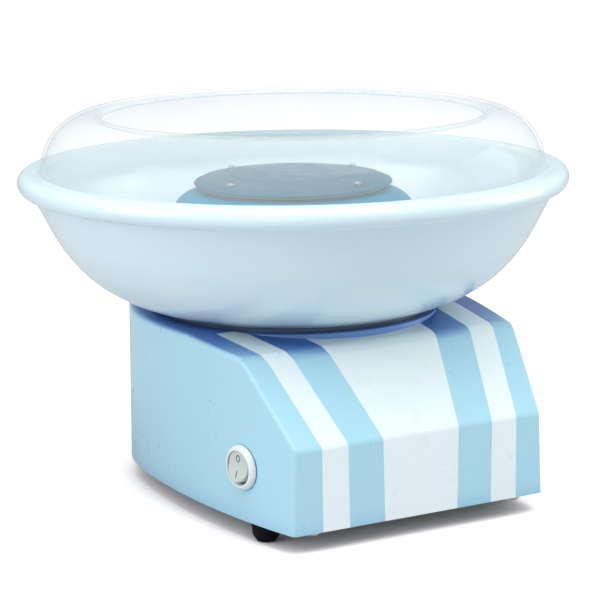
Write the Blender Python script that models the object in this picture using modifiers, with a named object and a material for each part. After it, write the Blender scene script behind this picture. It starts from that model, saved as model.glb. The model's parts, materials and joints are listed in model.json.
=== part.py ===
"""Cotton candy machine: blue moulded base, lift-off bowl with a clear ring, and a heated spinning head.

Row frame: metres, +Z up, +X to the machine's right, the front faces -Y.
The origin is on the table, below the centre of the bowl, which is also the motor's axis.
Each physical piece is its own object. Neighbouring pieces keep GAP between their faces.
"""
import math

import bmesh
import bpy
from mathutils import Matrix, Vector

# ---------------------------------------------------------------- driving dimensions, metres

GAP = 0.0003

# Base housing
WALL = 0.0025
BASE_BOTTOM_Z = 0.010
BASE_REF_TOP_Z = 0.099            # height at which the upper outline is stated
FRONT_Y = -0.1214
FOLD_Z = 0.0524                   # top of the upright front
BROW_Y = -0.085
BROW_Z = 0.0927                   # top of the sloped front
CREST_Y = -0.038
CREST_Z = 0.0982                  # level top, under the bowl
# Right half of the outline at the bottom and at BASE_REF_TOP_Z: two cubic Bezier stretches each,
# first the side from the front corner to the shoulder, then the round back to the centre line.
LOWER_OUTLINE = (
    ((0.0742, -0.1214), (0.0840, -0.0700), (0.0845, -0.0120), (0.0745, 0.0400)),
    ((0.0745, 0.0400), (0.0672, 0.0780), (0.0400, 0.1090), (0.0, 0.1090)),
)
UPPER_OUTLINE = (
    ((0.0710, -0.1214), (0.0885, -0.0800), (0.0945, -0.0020), (0.0820, 0.0330)),
    ((0.0820, 0.0330), (0.0680, 0.0690), (0.0450, 0.1110), (0.0, 0.1110)),
)
SIDE_STEPS = 9                    # wall panels along each outline stretch
EDGE_ROUND = 0.006                # bevel width of an edge whose weight is 1

# Round seat for the bowl, and the neck that carries the heater
SEAT_RING_R = 0.0765
SEAT_RING_TOP_Z = 0.0968
SEAT_WELL_R = 0.0723
SEAT_FLOOR_Z = 0.0915
SEAT_UNDER_Z = 0.087
NECK_R = 0.058
NECK_INNER_R = 0.0555
NECK_TOP_Z = 0.120

# Bottom cover, feet and screws
COVER_THICK = 0.0025
FOOT_R = 0.0076
FOOT_FRONT = (0.0705, -0.0880)
FOOT_BACK = (0.046, 0.068)
BOSS_R = 0.0048
BOSS_TOP_Z = 0.0245
PILOT_TOP_Z = 0.0225
BOSS_FRONT = (0.0600, -0.1156)
BOSS_BACK = (0.0656, 0.050)
PILOT_R = 0.0020
SCREW_R = 0.0016
SCREW_HEAD_R = 0.0034
SCREW_HEAD_H = 0.0020

# Power switch, on the left wall
SWITCH_Y = -0.0824
SWITCH_Z = 0.0377
SWITCH_FLANGE_R = 0.0115
SWITCH_FLANGE_H = 0.0020
SWITCH_BARREL_R = 0.0102
SWITCH_CUP_R = 0.0088
SWITCH_DEPTH = 0.015
ROCKER_R = 0.0079
ROCKER_TILT = 9.0                 # degrees either side of level

# Cord grommet, at the back
GROMMET_Z = 0.030
GROMMET_HOLE_R = 0.0058

# Bowl
BOWL_RIM_R = 0.145
BOWL_RIM_Z = 0.1663
BOWL_NOSE_R = 0.0058
BOWL_FOOT_R = 0.0716
BOWL_HOLE_R = 0.0690
BOWL_LEDGE_Z = 0.1711

# Clear ring
RING_R = 0.1325
RING_CREST_Z = 0.2015
RING_CREST_R = 0.1045
RING_LIP_R = 0.1000
RING_THICK = 0.0018

# Motor
MOTOR_R = 0.021
MOTOR_TOP_Z = 0.0844
MOTOR_BOTTOM_Z = 0.028
SHAFT_R = 0.0025
SHAFT_BOTTOM_Z = 0.0205
SHAFT_TOP_Z = 0.1575
PLATE_R = 0.066
PLATE_THICK = 0.0020
PLATE_SCREW_PCD_R = 0.0615
PLATE_SCREW_DEGREES = (34, 154, 274)

# Heater
HEATER_R = 0.038
HEATER_TUBE_R = 0.0032
HEATER_Z = 0.1455
PAN_R = 0.0575

# Spinning head
HEAD_R = 0.0525
HEAD_SCREW_PCD_R = 0.0462
DRIVE_PIN_Z = 0.146

# Colours: base colour, roughness, metallic
FINISH = {
    "blue_plastic": ((0.43, 0.72, 0.80), 0.35, 0.0),
    "pale_plastic": ((0.78, 0.89, 0.93), 0.25, 0.0),
    "clear_plastic": ((0.90, 0.95, 0.97), 0.05, 0.0),
    "slate_plastic": ((0.16, 0.32, 0.42), 0.35, 0.0),
    "white_plastic": ((0.88, 0.90, 0.90), 0.35, 0.0),
    "black_rubber": ((0.02, 0.02, 0.02), 0.80, 0.0),
    "black_plastic": ((0.03, 0.03, 0.03), 0.50, 0.0),
    "aluminium": ((0.80, 0.81, 0.83), 0.30, 1.0),
    "steel": ((0.60, 0.61, 0.63), 0.35, 1.0),
    "brass": ((0.75, 0.58, 0.30), 0.35, 1.0),
    "bronze": ((0.55, 0.38, 0.22), 0.45, 1.0),
    "ceramic": ((0.90, 0.88, 0.82), 0.60, 0.0),
    "ferrite": ((0.08, 0.08, 0.09), 0.70, 0.0),
    "board_green": ((0.03, 0.22, 0.10), 0.50, 0.0),
    "red_wire": ((0.60, 0.04, 0.03), 0.50, 0.0),
    "blue_wire": ((0.04, 0.10, 0.50), 0.50, 0.0),
}

MACHINE = "cotton_candy_machine"


# ---------------------------------------------------------------- scene and helpers

def clear_scene():
    for old in list(bpy.data.objects):
        bpy.data.objects.remove(old, do_unlink=True)
    for old in list(bpy.data.collections):
        bpy.data.collections.remove(old)


def new_collection(name):
    collection = bpy.data.collections.new(name)
    bpy.context.scene.collection.children.link(collection)
    return collection


def make_material(name):
    colour, roughness, metallic = FINISH[name]
    material = bpy.data.materials.new(name)
    material.use_nodes = True
    shader = material.node_tree.nodes["Principled BSDF"]
    shader.inputs["Base Color"].default_value = (*colour, 1.0)
    shader.inputs["Roughness"].default_value = roughness
    shader.inputs["Metallic"].default_value = metallic
    material.diffuse_color = (*colour, 1.0)
    return material


def link_part(name, mesh, material, parent=None):
    part = bpy.data.objects.new(name, mesh)
    part.data.materials.append(MATERIALS[material])
    PARTS.objects.link(part)
    if parent is not None:
        part.parent = parent
    return part


def link_cutter(name, mesh, parent=None):
    cutter = bpy.data.objects.new(name, mesh)
    cutter.hide_render = True
    cutter.display_type = "WIRE"
    CUTTERS.objects.link(cutter)
    if parent is not None:
        cutter.parent = parent
    return cutter


def link_empty(name, matrix):
    empty = bpy.data.objects.new(name, None)
    PARTS.objects.link(empty)
    empty.matrix_world = matrix
    return empty


def mesh_from(bm, name, smooth=True):
    bmesh.ops.recalc_face_normals(bm, faces=bm.faces)
    mesh = bpy.data.meshes.new(name)
    bm.to_mesh(mesh)
    bm.free()
    if smooth:
        mesh.shade_smooth()
        mesh.set_sharp_from_angle(angle=math.radians(35.0))
    return mesh


def box_mesh(name, size, centre=(0.0, 0.0, 0.0), turn=None):
    bm = bmesh.new()
    bmesh.ops.create_cube(bm, size=1.0)
    bmesh.ops.scale(bm, vec=Vector(size), verts=bm.verts)
    if turn is not None:
        bmesh.ops.rotate(bm, matrix=turn, verts=bm.verts)
    bmesh.ops.translate(bm, vec=Vector(centre), verts=bm.verts)
    return mesh_from(bm, name, smooth=False)


def cylinder_mesh(name, radius, low_z, high_z, segments=24, top_radius=None):
    bm = bmesh.new()
    bmesh.ops.create_cone(
        bm, cap_ends=True, segments=segments, radius1=radius,
        radius2=radius if top_radius is None else top_radius, depth=high_z - low_z)
    bmesh.ops.translate(bm, vec=(0.0, 0.0, 0.5 * (low_z + high_z)), verts=bm.verts)
    return mesh_from(bm, name)


def cylinders_mesh(name, radius, low_z, high_z, places, segments=16):
    """Several upright cylinders in one mesh, one at each (x, y) place."""
    bm = bmesh.new()
    for x, y in places:
        made = bmesh.ops.create_cone(
            bm, cap_ends=True, segments=segments, radius1=radius, radius2=radius, depth=high_z - low_z)
        bmesh.ops.translate(bm, vec=(x, y, 0.5 * (low_z + high_z)), verts=made["verts"])
    return mesh_from(bm, name)


def turned_mesh(name, profile, closed):
    """A profile in the XZ plane; it runs down its outer side, so that the faces point out."""
    mesh = bpy.data.meshes.new(name)
    count = len(profile)
    edges = [(i, i + 1) for i in range(count - 1)]
    if closed:
        edges.append((count - 1, 0))
    mesh.from_pydata([(r, 0.0, z) for r, z in profile], edges, [])
    return mesh


def add_screw(obj, steps):
    screw = obj.modifiers.new("Turn", "SCREW")
    screw.axis = "Z"
    screw.angle = math.tau
    screw.steps = steps
    screw.render_steps = steps
    screw.use_merge_vertices = True
    screw.merge_threshold = 0.00001
    screw.use_smooth_shade = True
    return screw


def turned(name, profile, material, steps=32, parent=None):
    """A turned piece. A profile that touches the axis is solid, any other is a closed ring."""
    on_axis = profile[0][0] == 0.0 and profile[-1][0] == 0.0
    part = link_part(name, turned_mesh(name, profile, closed=not on_axis), material, parent)
    add_screw(part, steps)
    return part


def turned_cutter(name, profile, steps=32, parent=None):
    on_axis = profile[0][0] == 0.0 and profile[-1][0] == 0.0
    cutter = link_cutter(name, turned_mesh(name, profile, closed=not on_axis), parent)
    add_screw(cutter, steps)
    return cutter


def tube_profile(inner, outer, low_z, high_z):
    return [(outer, high_z), (outer, low_z), (inner, low_z), (inner, high_z)]


def boolean(obj, cutter, operation="DIFFERENCE"):
    modifier = obj.modifiers.new(f"{operation.title()} {cutter.name}", "BOOLEAN")
    modifier.operation = operation
    modifier.solver = "EXACT"
    modifier.object = cutter
    return modifier


def add_bevel(obj, width, segments=2, angle=40.0):
    bevel = obj.modifiers.new("Rounded edges", "BEVEL")
    bevel.width = width
    bevel.segments = segments
    bevel.limit_method = "ANGLE"
    bevel.angle_limit = math.radians(angle)
    return bevel


def arc(centre_r, centre_z, radius, start_degrees, end_degrees, steps):
    """Profile points on an arc, from start to end."""
    points = []
    for i in range(steps + 1):
        angle = math.radians(start_degrees + (end_degrees - start_degrees) * i / steps)
        points.append((centre_r + radius * math.cos(angle), centre_z + radius * math.sin(angle)))
    return points


def on_circle(radius, degrees):
    angle = math.radians(degrees)
    return radius * math.cos(angle), radius * math.sin(angle)


def mirrored(places):
    return [(side * x, y) for x, y in places for side in (-1, 1)]


# ---------------------------------------------------------------- base housing

def bezier_point(stretch, t):
    p0, p1, p2, p3 = (Vector(p) for p in stretch)
    s = 1.0 - t
    return s * s * s * p0 + 3.0 * s * s * t * p1 + 3.0 * s * t * t * p2 + t * t * t * p3


def outline_point(outline, u, inset):
    """The outline's point at u, 0 to 2 from the front corner to the back, moved in by inset."""
    stretch = min(int(u), 1)
    t = u - stretch
    point = bezier_point(outline[stretch], t)
    if inset == 0.0:
        return point
    if u >= 2.0:
        return point - Vector((0.0, inset))
    step = 0.001
    ahead = bezier_point(outline[stretch], min(t + step, 1.0))
    behind = bezier_point(outline[stretch], max(t - step, 0.0))
    along = (ahead - behind).normalized()
    moved = point + inset * Vector((-along.y, along.x))
    if u == 0.0:
        moved.y = point.y + inset
    return moved


def wall_point(u, z, inset=0.0):
    """The wall is ruled: straight from the lower outline to the upper one."""
    low = outline_point(LOWER_OUTLINE, u, inset)
    high = outline_point(UPPER_OUTLINE, u, inset)
    share = (z - BASE_BOTTOM_Z) / (BASE_REF_TOP_Z - BASE_BOTTOM_Z)
    flat = low.lerp(high, share)
    return Vector((flat.x, flat.y, z))


def top_profile(inset):
    """The top's height along Y, from the front: upright front, sloped front, rise, level."""
    return (
        (FRONT_Y + inset, FOLD_Z - 0.45 * inset),
        (BROW_Y + 0.45 * inset, BROW_Z - inset),
        (CREST_Y, CREST_Z - inset),
        (1.0, CREST_Z - inset),
    )


def top_height(y, profile):
    for (y0, z0), (y1, z1) in zip(profile[:-1], profile[1:]):
        if y <= y1:
            return z0 + (z1 - z0) * (y - y0) / (y1 - y0)
    return profile[-1][1]


def edge_point(u, inset, profile):
    """Where the wall line at u meets the top."""
    low, high = 0.0, BASE_REF_TOP_Z + 0.01
    for _ in range(50):
        middle = 0.5 * (low + high)
        point = wall_point(u, middle, inset)
        if middle < top_height(point.y, profile):
            low = middle
        else:
            high = middle
    return wall_point(u, low, inset)


def find_u(y, inset, profile):
    """The outline position whose top edge point lies at y."""
    low, high = 0.0, 2.0
    for _ in range(50):
        middle = 0.5 * (low + high)
        if edge_point(middle, inset, profile).y < y:
            low = middle
        else:
            high = middle
    return low


def spread(start, end, steps):
    return [start + (end - start) * i / steps for i in range(1, steps + 1)]


def housing_half_mesh(name, inset, low_z, weighted):
    """Right half of the body: walls, and a top of three flat fields, open at the plane X = 0."""
    profile = top_profile(inset)
    brow_u = find_u(BROW_Y + 0.45 * inset, inset, profile)
    crest_u = find_u(CREST_Y, inset, profile)
    stations = [0.0] + spread(0.0, brow_u, 3) + spread(brow_u, crest_u, 3)
    brow_index = 3
    crest_index = 6
    stations += spread(crest_u, 1.0, 4) + spread(1.0, 2.0, SIDE_STEPS)
    bm = bmesh.new()
    low = [bm.verts.new(wall_point(u, low_z, inset)) for u in stations]
    high = [bm.verts.new(edge_point(u, inset, profile)) for u in stations]
    centre_low = bm.verts.new((0.0, low[0].co.y, low_z))
    centre_fold = bm.verts.new((0.0, high[0].co.y, high[0].co.z))
    centre_brow = bm.verts.new((0.0, high[brow_index].co.y, high[brow_index].co.z))
    centre_crest = bm.verts.new((0.0, high[crest_index].co.y, high[crest_index].co.z))
    for a in (low[-1], high[-1]):
        a.co.x = 0.0
    for i in range(len(stations) - 1):
        bm.faces.new((low[i], low[i + 1], high[i + 1], high[i]))
    bm.faces.new((centre_low, low[0], high[0], centre_fold))
    bm.faces.new((centre_fold, *high[:brow_index + 1], centre_brow))
    bm.faces.new((centre_brow, *high[brow_index:crest_index + 1], centre_crest))
    bm.faces.new((centre_crest, *high[crest_index:]))
    bm.faces.new((centre_low, *reversed(low)))
    if weighted:
        weights = bm.edges.layers.float.new("bevel_weight_edge")

        def weigh(a, b, value):
            bm.edges.get((a, b))[weights] = value

        for i in range(len(stations) - 1):
            weigh(high[i], high[i + 1], 0.45 if i < brow_index else 0.70)
        weigh(low[0], high[0], 0.40)
        weigh(high[0], centre_fold, 0.45)
        weigh(high[brow_index], centre_brow, 1.0)
    for face in bm.faces:
        face.smooth = True
    mesh = bpy.data.meshes.new(name)
    bm.to_mesh(mesh)
    bm.free()
    return mesh


def add_mirror(obj):
    mirror = obj.modifiers.new("Left half", "MIRROR")
    mirror.use_axis = (True, False, False)
    mirror.use_clip = True
    mirror.merge_threshold = 0.00001
    return mirror


def make_base_housing(switch_frame):
    housing = link_part("base_housing", housing_half_mesh("base_housing", 0.0, BASE_BOTTOM_Z, True),
                        "blue_plastic")
    add_mirror(housing)
    bevel = housing.modifiers.new("Rounded edges", "BEVEL")
    bevel.width = EDGE_ROUND
    bevel.segments = 3
    bevel.limit_method = "WEIGHT"

    inside = link_cutter("housing_inside", housing_half_mesh("housing_inside", WALL, 0.004, False))
    add_mirror(inside)
    boolean(housing, inside)

    top_hole = link_cutter("seat_hole", cylinder_mesh("seat_hole", SEAT_RING_R - 0.0020, 0.080, 0.110, 48))
    top_hole.rotation_euler = (0.0, 0.0, math.radians(3.0))
    boolean(housing, top_hole)
    seat = turned_cutter("bowl_seat", [
        (SEAT_RING_R, SEAT_RING_TOP_Z - 0.0010),
        (SEAT_RING_R, SEAT_UNDER_Z),
        (NECK_INNER_R, SEAT_UNDER_Z),
        (NECK_INNER_R, NECK_TOP_Z),
        (NECK_R, NECK_TOP_Z),
        (NECK_R, SEAT_FLOOR_Z),
        (SEAT_WELL_R, SEAT_FLOOR_Z),
        (SEAT_WELL_R, SEAT_RING_TOP_Z),
        (SEAT_RING_R - 0.0010, SEAT_RING_TOP_Z),
    ], steps=48)
    boolean(housing, seat, "UNION")

    places = mirrored((BOSS_FRONT, BOSS_BACK))
    low_z = BASE_BOTTOM_Z + COVER_THICK + 2.0 * GAP
    bosses = link_cutter("screw_bosses", cylinders_mesh("screw_bosses", BOSS_R, low_z, BOSS_TOP_Z, places))
    boolean(housing, bosses, "UNION")
    pilots = link_cutter("screw_pilots", cylinders_mesh("screw_pilots", PILOT_R, 0.004, PILOT_TOP_Z, places, 12))
    boolean(housing, pilots)

    plate_places = [on_circle(PLATE_SCREW_PCD_R, degrees) for degrees in PLATE_SCREW_DEGREES]
    plate_pilots = link_cutter("plate_pilots", cylinders_mesh(
        "plate_pilots", PILOT_R, SEAT_UNDER_Z - 0.004, SEAT_UNDER_Z + 0.0032, plate_places, 12))
    boolean(housing, plate_pilots)

    switch_hole = link_cutter("switch_hole", cylinder_mesh(
        "switch_hole", SWITCH_BARREL_R + GAP, -0.010, 0.010, 32), switch_frame)
    boolean(housing, switch_hole)

    cord_hole = link_cutter("cord_hole", cylinder_mesh("cord_hole", GROMMET_HOLE_R, -0.015, 0.015, 24))
    cord_hole.matrix_world = grommet_matrix()
    boolean(housing, cord_hole)
    return housing


def grommet_matrix():
    """The grommet's frame: its local Z points out of the back wall."""
    place = wall_point(2.0, GROMMET_Z)
    return Matrix.Translation(place) @ Matrix.Rotation(math.radians(-90.0), 4, "X")


# ---------------------------------------------------------------- bottom cover, feet, screws

def make_bottom_cover():
    inset = WALL + 0.0005
    stations = [0.0] + spread(0.0, 1.0, 8) + spread(1.0, 2.0, SIDE_STEPS)
    right = [outline_point(LOWER_OUTLINE, u, inset) for u in stations]
    outline = [(p.x, p.y) for p in right[:-1]] + [(0.0, right[-1].y)]
    outline += [(-p.x, p.y) for p in reversed(right[:-1])]
    bm = bmesh.new()
    bm.faces.new([bm.verts.new((x, y, BASE_BOTTOM_Z)) for x, y in outline])
    cover = link_part("bottom_cover", mesh_from(bm, "bottom_cover", smooth=False), "white_plastic")
    if cover.data.polygons[0].normal.z < 0.0:
        cover.data.flip_normals()
    thick = cover.modifiers.new("Thickness", "SOLIDIFY")
    thick.thickness = COVER_THICK
    thick.offset = 1.0

    low_z, high_z = BASE_BOTTOM_Z - 0.002, BASE_BOTTOM_Z + 0.005
    screws = cylinders_mesh("cover_holes", SCREW_R + GAP, low_z, high_z, mirrored((BOSS_FRONT, BOSS_BACK)), 12)
    boolean(cover, link_cutter("cover_holes", screws))
    stems = cylinders_mesh("foot_holes", 0.0030, low_z, high_z, mirrored((FOOT_FRONT, FOOT_BACK)), 12)
    boolean(cover, link_cutter("foot_holes", stems))

    bm = bmesh.new()
    for row in (-0.052, -0.030):
        for column in range(-3, 4):
            made = bmesh.ops.create_cube(bm, size=1.0)
            bmesh.ops.scale(bm, vec=(0.0040, 0.0150, 0.012), verts=made["verts"])
            centre = (0.0110 * column, row, BASE_BOTTOM_Z + 0.5 * COVER_THICK)
            bmesh.ops.translate(bm, vec=centre, verts=made["verts"])
    boolean(cover, link_cutter("air_slots", mesh_from(bm, "air_slots", smooth=False)))
    return cover


def make_feet():
    top = BASE_BOTTOM_Z - GAP
    cover_top = BASE_BOTTOM_Z + COVER_THICK
    profile = [
        (0.0, cover_top + 0.0040),
        (0.0020, cover_top + 0.0040),
        (0.0038, cover_top + 0.0006),
        (0.0027, cover_top + 0.0006),
        (0.0027, top),
        (FOOT_R, top),
        (FOOT_R - 0.0004, 0.0012),
        (FOOT_R - 0.0014, 0.0),
        (0.0, 0.0),
    ]
    names = ("foot_front_left", "foot_front_right", "foot_back_left", "foot_back_right")
    for name, (x, y) in zip(names, mirrored((FOOT_FRONT, FOOT_BACK))):
        foot = turned(name, profile, "black_rubber", steps=16)
        foot.location = (x, y, 0.0)


def screw_profile(under_head_z, shank_length, radius, head_radius, head_height):
    """A screw that points up: its head is below under_head_z."""
    return [
        (0.0, under_head_z + shank_length),
        (0.6 * radius, under_head_z + shank_length),
        (radius, under_head_z + shank_length - radius),
        (radius, under_head_z),
        (head_radius, under_head_z),
        (head_radius, under_head_z - 0.5 * head_height),
        (0.7 * head_radius, under_head_z - head_height),
        (0.0, under_head_z - head_height),
    ]


def make_cover_screws():
    profile = screw_profile(BASE_BOTTOM_Z - GAP, 0.0115, SCREW_R, SCREW_HEAD_R, SCREW_HEAD_H)
    names = ("cover_screw_front_left", "cover_screw_front_right",
             "cover_screw_back_left", "cover_screw_back_right")
    for name, (x, y) in zip(names, mirrored((BOSS_FRONT, BOSS_BACK))):
        screw = turned(name, profile, "steel", steps=14)
        screw.location = (x, y, 0.0)


# ---------------------------------------------------------------- power switch and cord grommet

def find_wall_u(y, z):
    low, high = 0.0, 1.0
    for _ in range(50):
        middle = 0.5 * (low + high)
        if wall_point(middle, z).y < y:
            low = middle
        else:
            high = middle
    return low


def switch_matrix():
    """The switch's frame on the left wall: local Z points out, local Y runs up the wall."""
    u = find_wall_u(SWITCH_Y, SWITCH_Z)
    place = wall_point(u, SWITCH_Z)
    along = wall_point(u + 0.01, SWITCH_Z) - wall_point(u - 0.01, SWITCH_Z)
    up = wall_point(u, SWITCH_Z + 0.005) - wall_point(u, SWITCH_Z - 0.005)
    for vector in (place, along, up):
        vector.x = -vector.x
    out = up.cross(along).normalized()
    if out.x > 0.0:
        out = -out
    up = (up - out * up.dot(out)).normalized()
    right = up.cross(out)
    turn = Matrix((right, up, out)).transposed().to_4x4()
    return Matrix.Translation(place) @ turn


def make_switch(frame):
    flange_low = 0.0006
    flange_top = flange_low + SWITCH_FLANGE_H
    turned("switch_body", [
        (SWITCH_CUP_R, flange_top - 0.0004),
        (SWITCH_CUP_R + 0.0006, flange_top),
        (SWITCH_FLANGE_R - 0.0012, flange_top),
        (SWITCH_FLANGE_R - 0.0003, flange_top - 0.0006),
        (SWITCH_FLANGE_R, flange_low + 0.0004),
        (SWITCH_FLANGE_R - 0.0002, flange_low),
        (SWITCH_BARREL_R, flange_low),
        (SWITCH_BARREL_R, -SWITCH_DEPTH),
        (0.0020, -SWITCH_DEPTH),
        (0.0020, -SWITCH_DEPTH + 0.0020),
        (SWITCH_CUP_R, -SWITCH_DEPTH + 0.0020),
    ], "white_plastic", steps=28, parent=frame)

    pivot = bpy.data.objects.new("switch_pivot", None)
    PARTS.objects.link(pivot)
    pivot.parent = frame
    pivot.location = (0.0, 0.0, -0.0030)
    pivot.rotation_euler = (math.radians(-ROCKER_TILT), 0.0, 0.0)
    rocker = link_part("switch_rocker", cylinder_mesh("switch_rocker", ROCKER_R, -0.0050, 0.0085, 24),
                       "white_plastic", pivot)
    for side in (-1.0, 1.0):
        turn = Matrix.Rotation(math.radians(side * ROCKER_TILT), 3, "X")
        wedge = box_mesh(f"rocker_face_{'low' if side < 0 else 'high'}", (0.030, 0.030, 0.010),
                         turn @ Vector((0.0, side * 0.015, 0.0053 + 0.005)), turn)
        boolean(rocker, link_cutter(wedge.name, wedge, pivot))
    add_bevel(rocker, 0.0005, 2, 50.0)

    for name, x in (("switch_terminal_1", -0.0045), ("switch_terminal_2", 0.0045)):
        low = -SWITCH_DEPTH - GAP - 0.0085
        high = -SWITCH_DEPTH - GAP
        mesh = box_mesh(name, (0.0048, 0.0008, high - low), (x, 0.0, 0.5 * (low + high)))
        link_part(name, mesh, "brass", frame)


def make_grommet():
    neck = GROMMET_HOLE_R - GAP
    grommet = turned("cord_grommet", [
        (0.0045, 0.0036),
        (0.0075, 0.0020),
        (0.0080, 0.0006),
        (neck, 0.0006),
        (neck, -0.0034),
        (neck + 0.0016, -0.0036),
        (neck + 0.0010, -0.0056),
        (0.0034, -0.0056),
        (0.0034, 0.0030),
    ], "black_rubber", steps=18)
    grommet.matrix_world = grommet_matrix()


# ---------------------------------------------------------------- bowl and clear ring

def make_bowl():
    nose_r = BOWL_RIM_R - BOWL_NOSE_R
    profile = [(nose_r - 0.0042, BOWL_RIM_Z + BOWL_NOSE_R - 0.0002)]
    profile += arc(nose_r, BOWL_RIM_Z, BOWL_NOSE_R, 90.0, -90.0, 6)
    profile += [
        (0.1370, 0.1610),
        (0.1322, 0.1520),
        (0.1252, 0.1367),
        (0.1205, 0.1287),
        (0.1139, 0.1207),
        (0.1039, 0.1127),
        (0.0898, 0.1047),
        (0.0760, 0.1000),
        (BOWL_FOOT_R, 0.0984),
        (BOWL_FOOT_R, SEAT_FLOOR_Z + GAP),
        (BOWL_HOLE_R, SEAT_FLOOR_Z + GAP),
        (BOWL_HOLE_R, 0.1078),
        (0.0712, 0.1078),
        (0.0722, 0.1026),
        (0.0755, 0.1024),
        (0.0889, 0.1071),
        (0.1027, 0.1150),
        (0.1122, 0.1227),
        (0.1185, 0.1301),
        (0.1230, 0.1377),
        (0.1299, 0.1530),
        (0.1302, BOWL_LEDGE_Z),
        (0.1332, BOWL_LEDGE_Z),
    ]
    turned("bowl", profile, "pale_plastic", steps=40)


def make_clear_ring():
    """A quarter-ellipse shoulder, with a small rolled bead inside the crest."""
    across = RING_R - RING_CREST_R
    base_z = BOWL_LEDGE_Z + GAP
    shoulder_z = 0.1735
    rise = RING_CREST_Z - shoulder_z

    def shoulder(offset, start, end, steps):
        points = []
        for i in range(steps + 1):
            angle = math.radians(start + (end - start) * i / steps)
            points.append((RING_CREST_R + (across - offset) * math.cos(angle),
                           shoulder_z + (rise - offset) * math.sin(angle)))
        return points

    lip_z = RING_CREST_Z - 0.0034
    profile = [(RING_LIP_R, lip_z + 0.0006), (RING_LIP_R + 0.0012, lip_z + 0.0024)]
    profile += shoulder(0.0, 90.0, 0.0, 6)
    profile += [(RING_R, base_z), (RING_R - RING_THICK, base_z)]
    profile += shoulder(RING_THICK, 0.0, 90.0, 6)
    profile += [(RING_LIP_R + 0.0022, lip_z + 0.0006), (RING_LIP_R + 0.0012, lip_z - 0.0004)]
    turned("clear_ring", profile, "clear_plastic", steps=40)


# ---------------------------------------------------------------- heater

def make_heater():
    turned("heater_shroud", [
        (0.0460, 0.1606),
        (0.0562, 0.1576),
        (0.0606, 0.1546),
        (0.0638, 0.1500),
        (0.0657, 0.1430),
        (0.0665, 0.1330),
        (0.0665, SEAT_FLOOR_Z + GAP),
        (0.0643, SEAT_FLOOR_Z + GAP),
        (0.0643, 0.1330),
        (0.0635, 0.1424),
        (0.0618, 0.1488),
        (0.0591, 0.1530),
        (0.0553, 0.1556),
        (0.0460, 0.1586),
    ], "slate_plastic", steps=32)

    pan_floor = NECK_TOP_Z + GAP
    turned("heater_pan", [
        (PAN_R, 0.148), (PAN_R, pan_floor), (0.0120, pan_floor), (0.0120, pan_floor + 0.0012),
        (PAN_R - 0.0012, pan_floor + 0.0012), (PAN_R - 0.0012, 0.148),
    ], "aluminium", steps=32)

    bpy.ops.mesh.primitive_torus_add(
        major_radius=HEATER_R, minor_radius=HEATER_TUBE_R, major_segments=32, minor_segments=8,
        location=(0.0, 0.0, HEATER_Z))
    heater = bpy.context.active_object
    heater.name = "heating_ring"
    heater.data.name = "heating_ring"
    for holder in list(heater.users_collection):
        holder.objects.unlink(heater)
    PARTS.objects.link(heater)
    heater.data.materials.append(MATERIALS["steel"])
    heater.data.shade_smooth()

    post_low = pan_floor + 0.0012 + GAP
    post_high = HEATER_Z - HEATER_TUBE_R - GAP
    for number, degrees in enumerate((90, 210, 330), start=1):
        x, y = on_circle(HEATER_R, degrees)
        post = link_part(f"ceramic_post_{number}",
                         cylinder_mesh(f"ceramic_post_{number}", 0.0036, post_low, post_high, 16), "ceramic")
        post.location = (x, y, 0.0)

    fuse = link_part("thermal_fuse", cylinder_mesh("thermal_fuse", 0.0022, -0.0060, 0.0060, 16), "steel")
    fuse.location = (0.0, -0.0300, pan_floor + 0.0012 + GAP + 0.0023)
    fuse.rotation_euler = (0.0, math.radians(90.0), 0.0)


# ---------------------------------------------------------------- motor

def half_ring_mesh(name, inner, outer, low_z, high_z, middle_degrees, half_span=68.0, steps=12):
    """A magnet: an arc of a ring, drawn as its flat outline and pulled up."""
    outer_arc = arc(0.0, 0.0, outer, middle_degrees - half_span, middle_degrees + half_span, steps)
    inner_arc = arc(0.0, 0.0, inner, middle_degrees + half_span, middle_degrees - half_span, steps)
    bm = bmesh.new()
    face = bm.faces.new([bm.verts.new((x, y, low_z)) for x, y in outer_arc + inner_arc])
    grown = bmesh.ops.extrude_face_region(bm, geom=[face])
    lifted = [item for item in grown["geom"] if isinstance(item, bmesh.types.BMVert)]
    bmesh.ops.translate(bm, vec=(0.0, 0.0, high_z - low_z), verts=lifted)
    return mesh_from(bm, name)


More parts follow.
